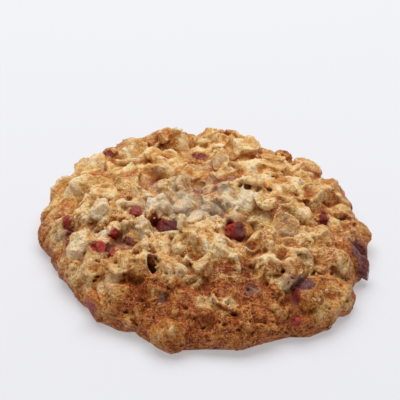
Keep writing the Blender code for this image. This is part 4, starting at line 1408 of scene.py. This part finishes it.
def dough_material(settings):
    """Baked dough, browned by its tone, with grain, pores painted dark, painted shade in the
    recesses, painted highlights on the tops, dusty patches with a painted sheen, and berry stains.
    """
    m = Recipe("baked_dough")
    fine, broad, baked = m.guide("fine_rise"), m.guide("broad_rise"), m.guide("baked")
    patches = m.speckle(0.35, 4.0, 0.6)
    zones = m.speckle(0.13, 2.0, 0.5)
    grain = m.speckle(1.1, 2.0, 0.6)
    specks = m.speckle(2.8, 1.0, 0.5)
    crisp = m.guide("crisp")

    # The tone, mottled, and browner in the recesses than on what stands out, as painted shade.
    patchy = m.fade(patches, 0.25, 0.75, 0.18, -0.18)
    mottle = m.plus(patchy, m.fade(zones, 0.3, 0.7, 0.24, -0.14))
    mottle = m.times(mottle, m.fade(baked, 0.3, 1.0, 1.0, 0.4))
    tone = m.plus(m.guide("tone"), mottle)
    finer = m.fade(m.speckle(0.9, 3.0, 0.6), 0.3, 0.7, 0.16, -0.16)
    tone = m.plus(tone, m.times(finer, m.fade(crisp, 0.0, 1.0, 0.7, 1.0)))
    tone = m.plus(tone, m.fade(broad, -1.1, 1.1, 0.24, -0.26))
    tone = m.plus(tone, m.times(baked, m.fade(broad, -1.0, 0.3, 0.30, 0.0)))
    colour = m.ramp(tone, settings)
    colour = m.mix(m.fade(tone, 1.05, 1.6, 0.0, 0.8), colour, settings.russet)

    # Painted shade in the crevices, darkest where they are deepest and softer at the back.
    low = m.plus(m.times(broad, 0.7), m.times(fine, 0.3))
    deep = m.fade(crisp, 0.0, 0.8, 0.5, 1.0)
    crevice_shade_amount = m.times(deep, m.fade(low, -0.1, -0.9, 0.0, 0.85))
    colour = m.mix(crevice_shade_amount, colour, settings.crevice_shade)
    colour = m.mix(m.times(deep, m.fade(low, -0.6, -1.2, 0.0, 0.85)), colour, settings.deep_shade)

    # The browned crust, russet and tan in grains, and a painted highlight, paler, on the tops of
    # what stands out.
    pale = m.mix(baked, settings.cream, settings.tan)
    crust = m.speckle(0.8, 4.0, 0.75)
    russet_grain = m.times(baked, m.fade(crust, 0.5, 0.38, 0.0, 0.7))
    colour = m.mix(russet_grain, colour, settings.russet)
    tan_grain = m.times(baked, m.fade(crust, 0.54, 0.66, 0.0, 0.75))
    colour = m.mix(tan_grain, colour, settings.tan)
    colour = m.mix(m.fade(fine, 0.3, 1.4, 0.0, 0.5), colour, pale)

    # Grain, pale on what stands out and held back in the recesses as painted shade, and dark all
    # over, and the blots of the browned crust.
    lively = m.fade(crisp, 0.0, 1.0, 0.6, 1.0)
    crusty = m.times(baked, m.fade(tone, 0.35, 0.75))
    shade = m.mix(crusty, (0.62, 0.45, 0.26), (0.45, 0.20, 0.05))
    raised = m.fade(low, -0.7, 0.1, 0.15, 1.0)
    pale_grain = m.times(lively, m.fade(grain, 0.52, 0.68, 0.0, 0.6))
    colour = m.mix(m.times(pale_grain, raised), colour, pale)
    dark_grain = m.times(lively, m.fade(grain, 0.46, 0.32, 0.0, 0.8))
    colour = m.mix(dark_grain, colour, shade, "MULTIPLY")
    streaks = m.speckle(0.6, 3.0, 0.7, m.millimetres((0.7, 1.0, 1.6)))
    blots = m.fade(streaks, 0.50, 0.36, 0.0, 0.9)
    colour = m.mix(m.times(crusty, blots), colour, settings.russet)

    # Specks, in the rougher patches and fewer in the recesses, which for the pale ones is painted
    # shade.
    rough = m.fade(m.speckle(0.22, 2.0, 0.5), 0.38, 0.6, 0.3, 1.0)
    rough = m.times(m.times(rough, raised), lively)
    pale_specks = m.times(rough, m.fade(specks, 0.54, 0.66, 0.0, 0.8))
    colour = m.mix(pale_specks, colour, pale)
    dark_specks = m.times(rough, m.fade(specks, 0.50, 0.34, 0.0, 0.65))
    speck_shade = m.mix(crusty, (0.62, 0.52, 0.40), (0.60, 0.42, 0.28))
    colour = m.mix(dark_specks, colour, speck_shade, "MULTIPLY")

    # Pores in the browned crust, bent out of their round shape, painted dark as their shade and
    # bumped in.
    places = m.millimetres()
    drift = m.add("TexNoise", {}, {"Vector": m.millimetres(), "Scale": 0.9}, out=1)
    bent = m.add("VectorMath", {"operation": "ADD"}, {0: places, 1: drift})
    cells = m.add("TexVoronoi", {}, {"Vector": bent, "Scale": 0.9})
    holes = m.times(m.fade(cells, 0.34, 0.16), m.fade(patches, 0.44, 0.6, 0.0, 0.95))
    holes = m.times(holes, m.fade(crusty, 0.2, 0.8, 0.0, 0.8))
    colour = m.mix(holes, colour, settings.deep_shade)

    # The dusty bloom with its painted sheen, pale on the tops and grey in the recesses as painted
    # shade, and the berries' stains and bare skins.
    sheen_haze = m.times(m.guide("sheen_haze"), m.fade(patches, 0.35, 0.65, 0.1, 0.75))
    pale_sheen_haze = m.times(m.guide("pale_sheen_haze"), m.fade(low, -0.4, 0.2))
    dust_and_sheen = m.mix(pale_sheen_haze, settings.grey_sheen_haze, settings.sheen_haze)
    colour = m.mix(sheen_haze, colour, dust_and_sheen)
    colour = m.mix(m.times(m.guide("stain"), 0.5), colour, BERRY_STAIN)
    berries = bpy.context.scene.cookie_berries
    colour = m.mix(m.guide("skin"), colour, m.skin(berries, m.speckle(1.8, 3.0, 0.6)))

    normal = m.bump(grain, 0.5 * MM)
    normal = m.bump(m.calc("SUBTRACT", m.times(specks, lively), holes), 0.3 * MM, normal)
    return m.finish(
        colour, normal, Roughness=m.fade(specks, 0.35, 0.65, 0.32, 0.16),
        Subsurface_Weight=0.35, Subsurface_Scale=0.0016, Specular_IOR_Level=0.15,
    )


def crumb_material(settings):
    """The dough's own tones, dry."""
    m = Recipe("crumb")
    colour = m.ramp(m.guide("tone"), settings)
    return m.finish(colour, None, Roughness=0.5, Specular_IOR_Level=0.35)


def berry_material(settings):
    """A cranberry's skin, with a film of dough beyond where it lies bare."""
    m = Recipe("cranberry_skin")
    grain = m.speckle(1.8, 3.0, 0.6)
    colour = m.skin(settings, grain, m.fade(m.guide("ridge"), 0.0, 0.6, 0.4, 1.0))
    film = m.times(m.guide("film"), m.fade(grain, 0.3, 0.6, 0.35, 1.0))
    tone = m.plus(m.guide("tone"), m.fade(grain, 0.3, 0.7, 0.2, -0.2))
    colour = m.mix(film, colour, m.ramp(tone, bpy.context.scene.cookie_dough))
    return m.finish(
        colour, m.bump(m.speckle(0.9, 4.0, 0.65), 0.7 * MM),
        Roughness=m.fade(film, 0.0, 0.5, 0.22, 0.5),
        Subsurface_Weight=0.15, Subsurface_Scale=0.001, Specular_IOR_Level=0.25,
    )


# --- Stage --------------------------------------------------------------------------------


FLOOR_SIZE = 6.0
FLOOR_ROUGHNESS = 0.9
GLOW_COLOUR = (0.98, 0.98, 1.0)
KEY_SIZE = (1.2, 0.9)
KEY_PLACE = (-0.03, 0.34, 0.90)
KEY_COLOUR = (1.0, 0.985, 0.96)
SKY_COLOUR = (1.0, 0.99, 0.97, 1.0)
SENSOR_WIDTH = 36.0
FOCAL_LENGTH = 194.4
CLIP = (0.01, 20.0)


def area_light(name, watts, size, place, colour):
    """A soft light turned to the cookie."""
    light = bpy.data.lights.new(name, "AREA")
    light.energy = watts
    light.shape = "RECTANGLE"
    light.size, light.size_y = size
    light.color = colour
    lamp = bpy.data.objects.new(name, light)
    bpy.context.scene.collection.objects.link(lamp)
    lamp.location = place
    lamp.rotation_euler = (-Vector(place)).to_track_quat("-Z", "Y").to_euler()


def make_stage(settings):
    """The floor, a light overhead, light from all round and the camera."""
    deselect()
    bpy.ops.mesh.primitive_plane_add(size=FLOOR_SIZE)
    floor = bpy.context.object
    floor.name = "floor"
    m = Recipe("pale_floor")
    glow = {"Emission Color": GLOW_COLOUR, "Emission Strength": settings.floor_glow}
    for socket, value in glow.items():
        m.feed(m.shader.inputs[socket], value)
    floor.data.materials.append(m.finish(tuple(settings.floor), None, Roughness=FLOOR_ROUGHNESS))
    floor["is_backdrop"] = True

    area_light("overhead", settings.key_watts, KEY_SIZE, KEY_PLACE, KEY_COLOUR)
    world = bpy.data.worlds.new("studio")
    bpy.context.scene.world = world
    world.use_nodes = True
    sky = world.node_tree.nodes["Background"]
    sky.inputs["Color"].default_value = SKY_COLOUR
    sky.inputs["Strength"].default_value = settings.fill
    bpy.context.scene.view_settings.view_transform = "Standard"

    camera = bpy.data.cameras.new("camera")
    holder = bpy.data.objects.new("camera", camera)
    bpy.context.scene.collection.objects.link(holder)
    rise, away = math.sin(settings.elevation), math.cos(settings.elevation)
    holder.location = Vector(SETTLE) + Vector((0.0, -away, rise)) * settings.distance
    pitch = math.pi / 2 - settings.elevation + settings.aim_up
    holder.rotation_euler = (pitch, 0.0, settings.aim_left)
    camera.sensor_width = SENSOR_WIDTH
    camera.lens = FOCAL_LENGTH
    camera.clip_start, camera.clip_end = CLIP
    bpy.context.scene.camera = holder


# --- Operators ----------------------------------------------------------------------------


class COOKIE_OT_dough(bpy.types.Operator):
    """Makes the baked dough with the oats in it"""

    bl_idname = "cookie.dough"
    bl_label = "Dough"

    def execute(self, context):
        make_dough(context.scene.cookie_dough)
        return {"FINISHED"}


class COOKIE_OT_crumbs(bpy.types.Operator):
    """Sticks small grains to the dough"""

    bl_idname = "cookie.crumbs"
    bl_label = "Crumbs"

    def execute(self, context):
        make_crumbs(context.scene.cookie_dough, bpy.data.objects["dough"])
        return {"FINISHED"}


class COOKIE_OT_cranberries(bpy.types.Operator):
    """Makes the wrinkled dried cranberries"""

    bl_idname = "cookie.cranberries"
    bl_label = "Cranberries"

    def execute(self, context):
        make_cranberries(context.scene.cookie_berries)
        return {"FINISHED"}


class COOKIE_OT_stage(bpy.types.Operator):
    """Makes the floor, the lights and the camera"""

    bl_idname = "cookie.stage"
    bl_label = "Stage"

    def execute(self, context):
        make_stage(context.scene.cookie_stage)
        return {"FINISHED"}


OPERATORS = (
    COOKIE_OT_dough,
    COOKIE_OT_crumbs,
    COOKIE_OT_cranberries,
    COOKIE_OT_stage,
)


class COOKIE_PT_panel(bpy.types.Panel):
    """The cookie's pieces, in the order they are made"""

    bl_label = "Oat cranberry cookie"
    bl_idname = "COOKIE_PT_panel"
    bl_space_type = "VIEW_3D"
    bl_region_type = "UI"
    bl_category = "Cookie"

    def draw(self, context):
        for operator in OPERATORS:
            self.layout.operator(operator.bl_idname)


SETTINGS = {
    "cookie_dough": DoughSettings,
    "cookie_berries": BerrySettings,
    "cookie_stage": StageSettings,
}
CLASSES = (*SETTINGS.values(), *OPERATORS, COOKIE_PT_panel)


def register():
    for made in CLASSES:
        bpy.utils.register_class(made)
    for name, group in SETTINGS.items():
        setattr(bpy.types.Scene, name, bpy.props.PointerProperty(type=group))


def unregister():
    for name in SETTINGS:
        delattr(bpy.types.Scene, name)
    for made in reversed(CLASSES):
        bpy.utils.unregister_class(made)


def main():
    register()
    bpy.ops.cookie.dough()
    bpy.ops.cookie.crumbs()
    bpy.ops.cookie.cranberries()
    bpy.ops.cookie.stage()
    boxes = {"cad": CAD_BOX, "visual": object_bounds()}
    {name: [list(corner) for corner in box] for name, box in boxes.items()}


if __name__ == "__main__":
    main()
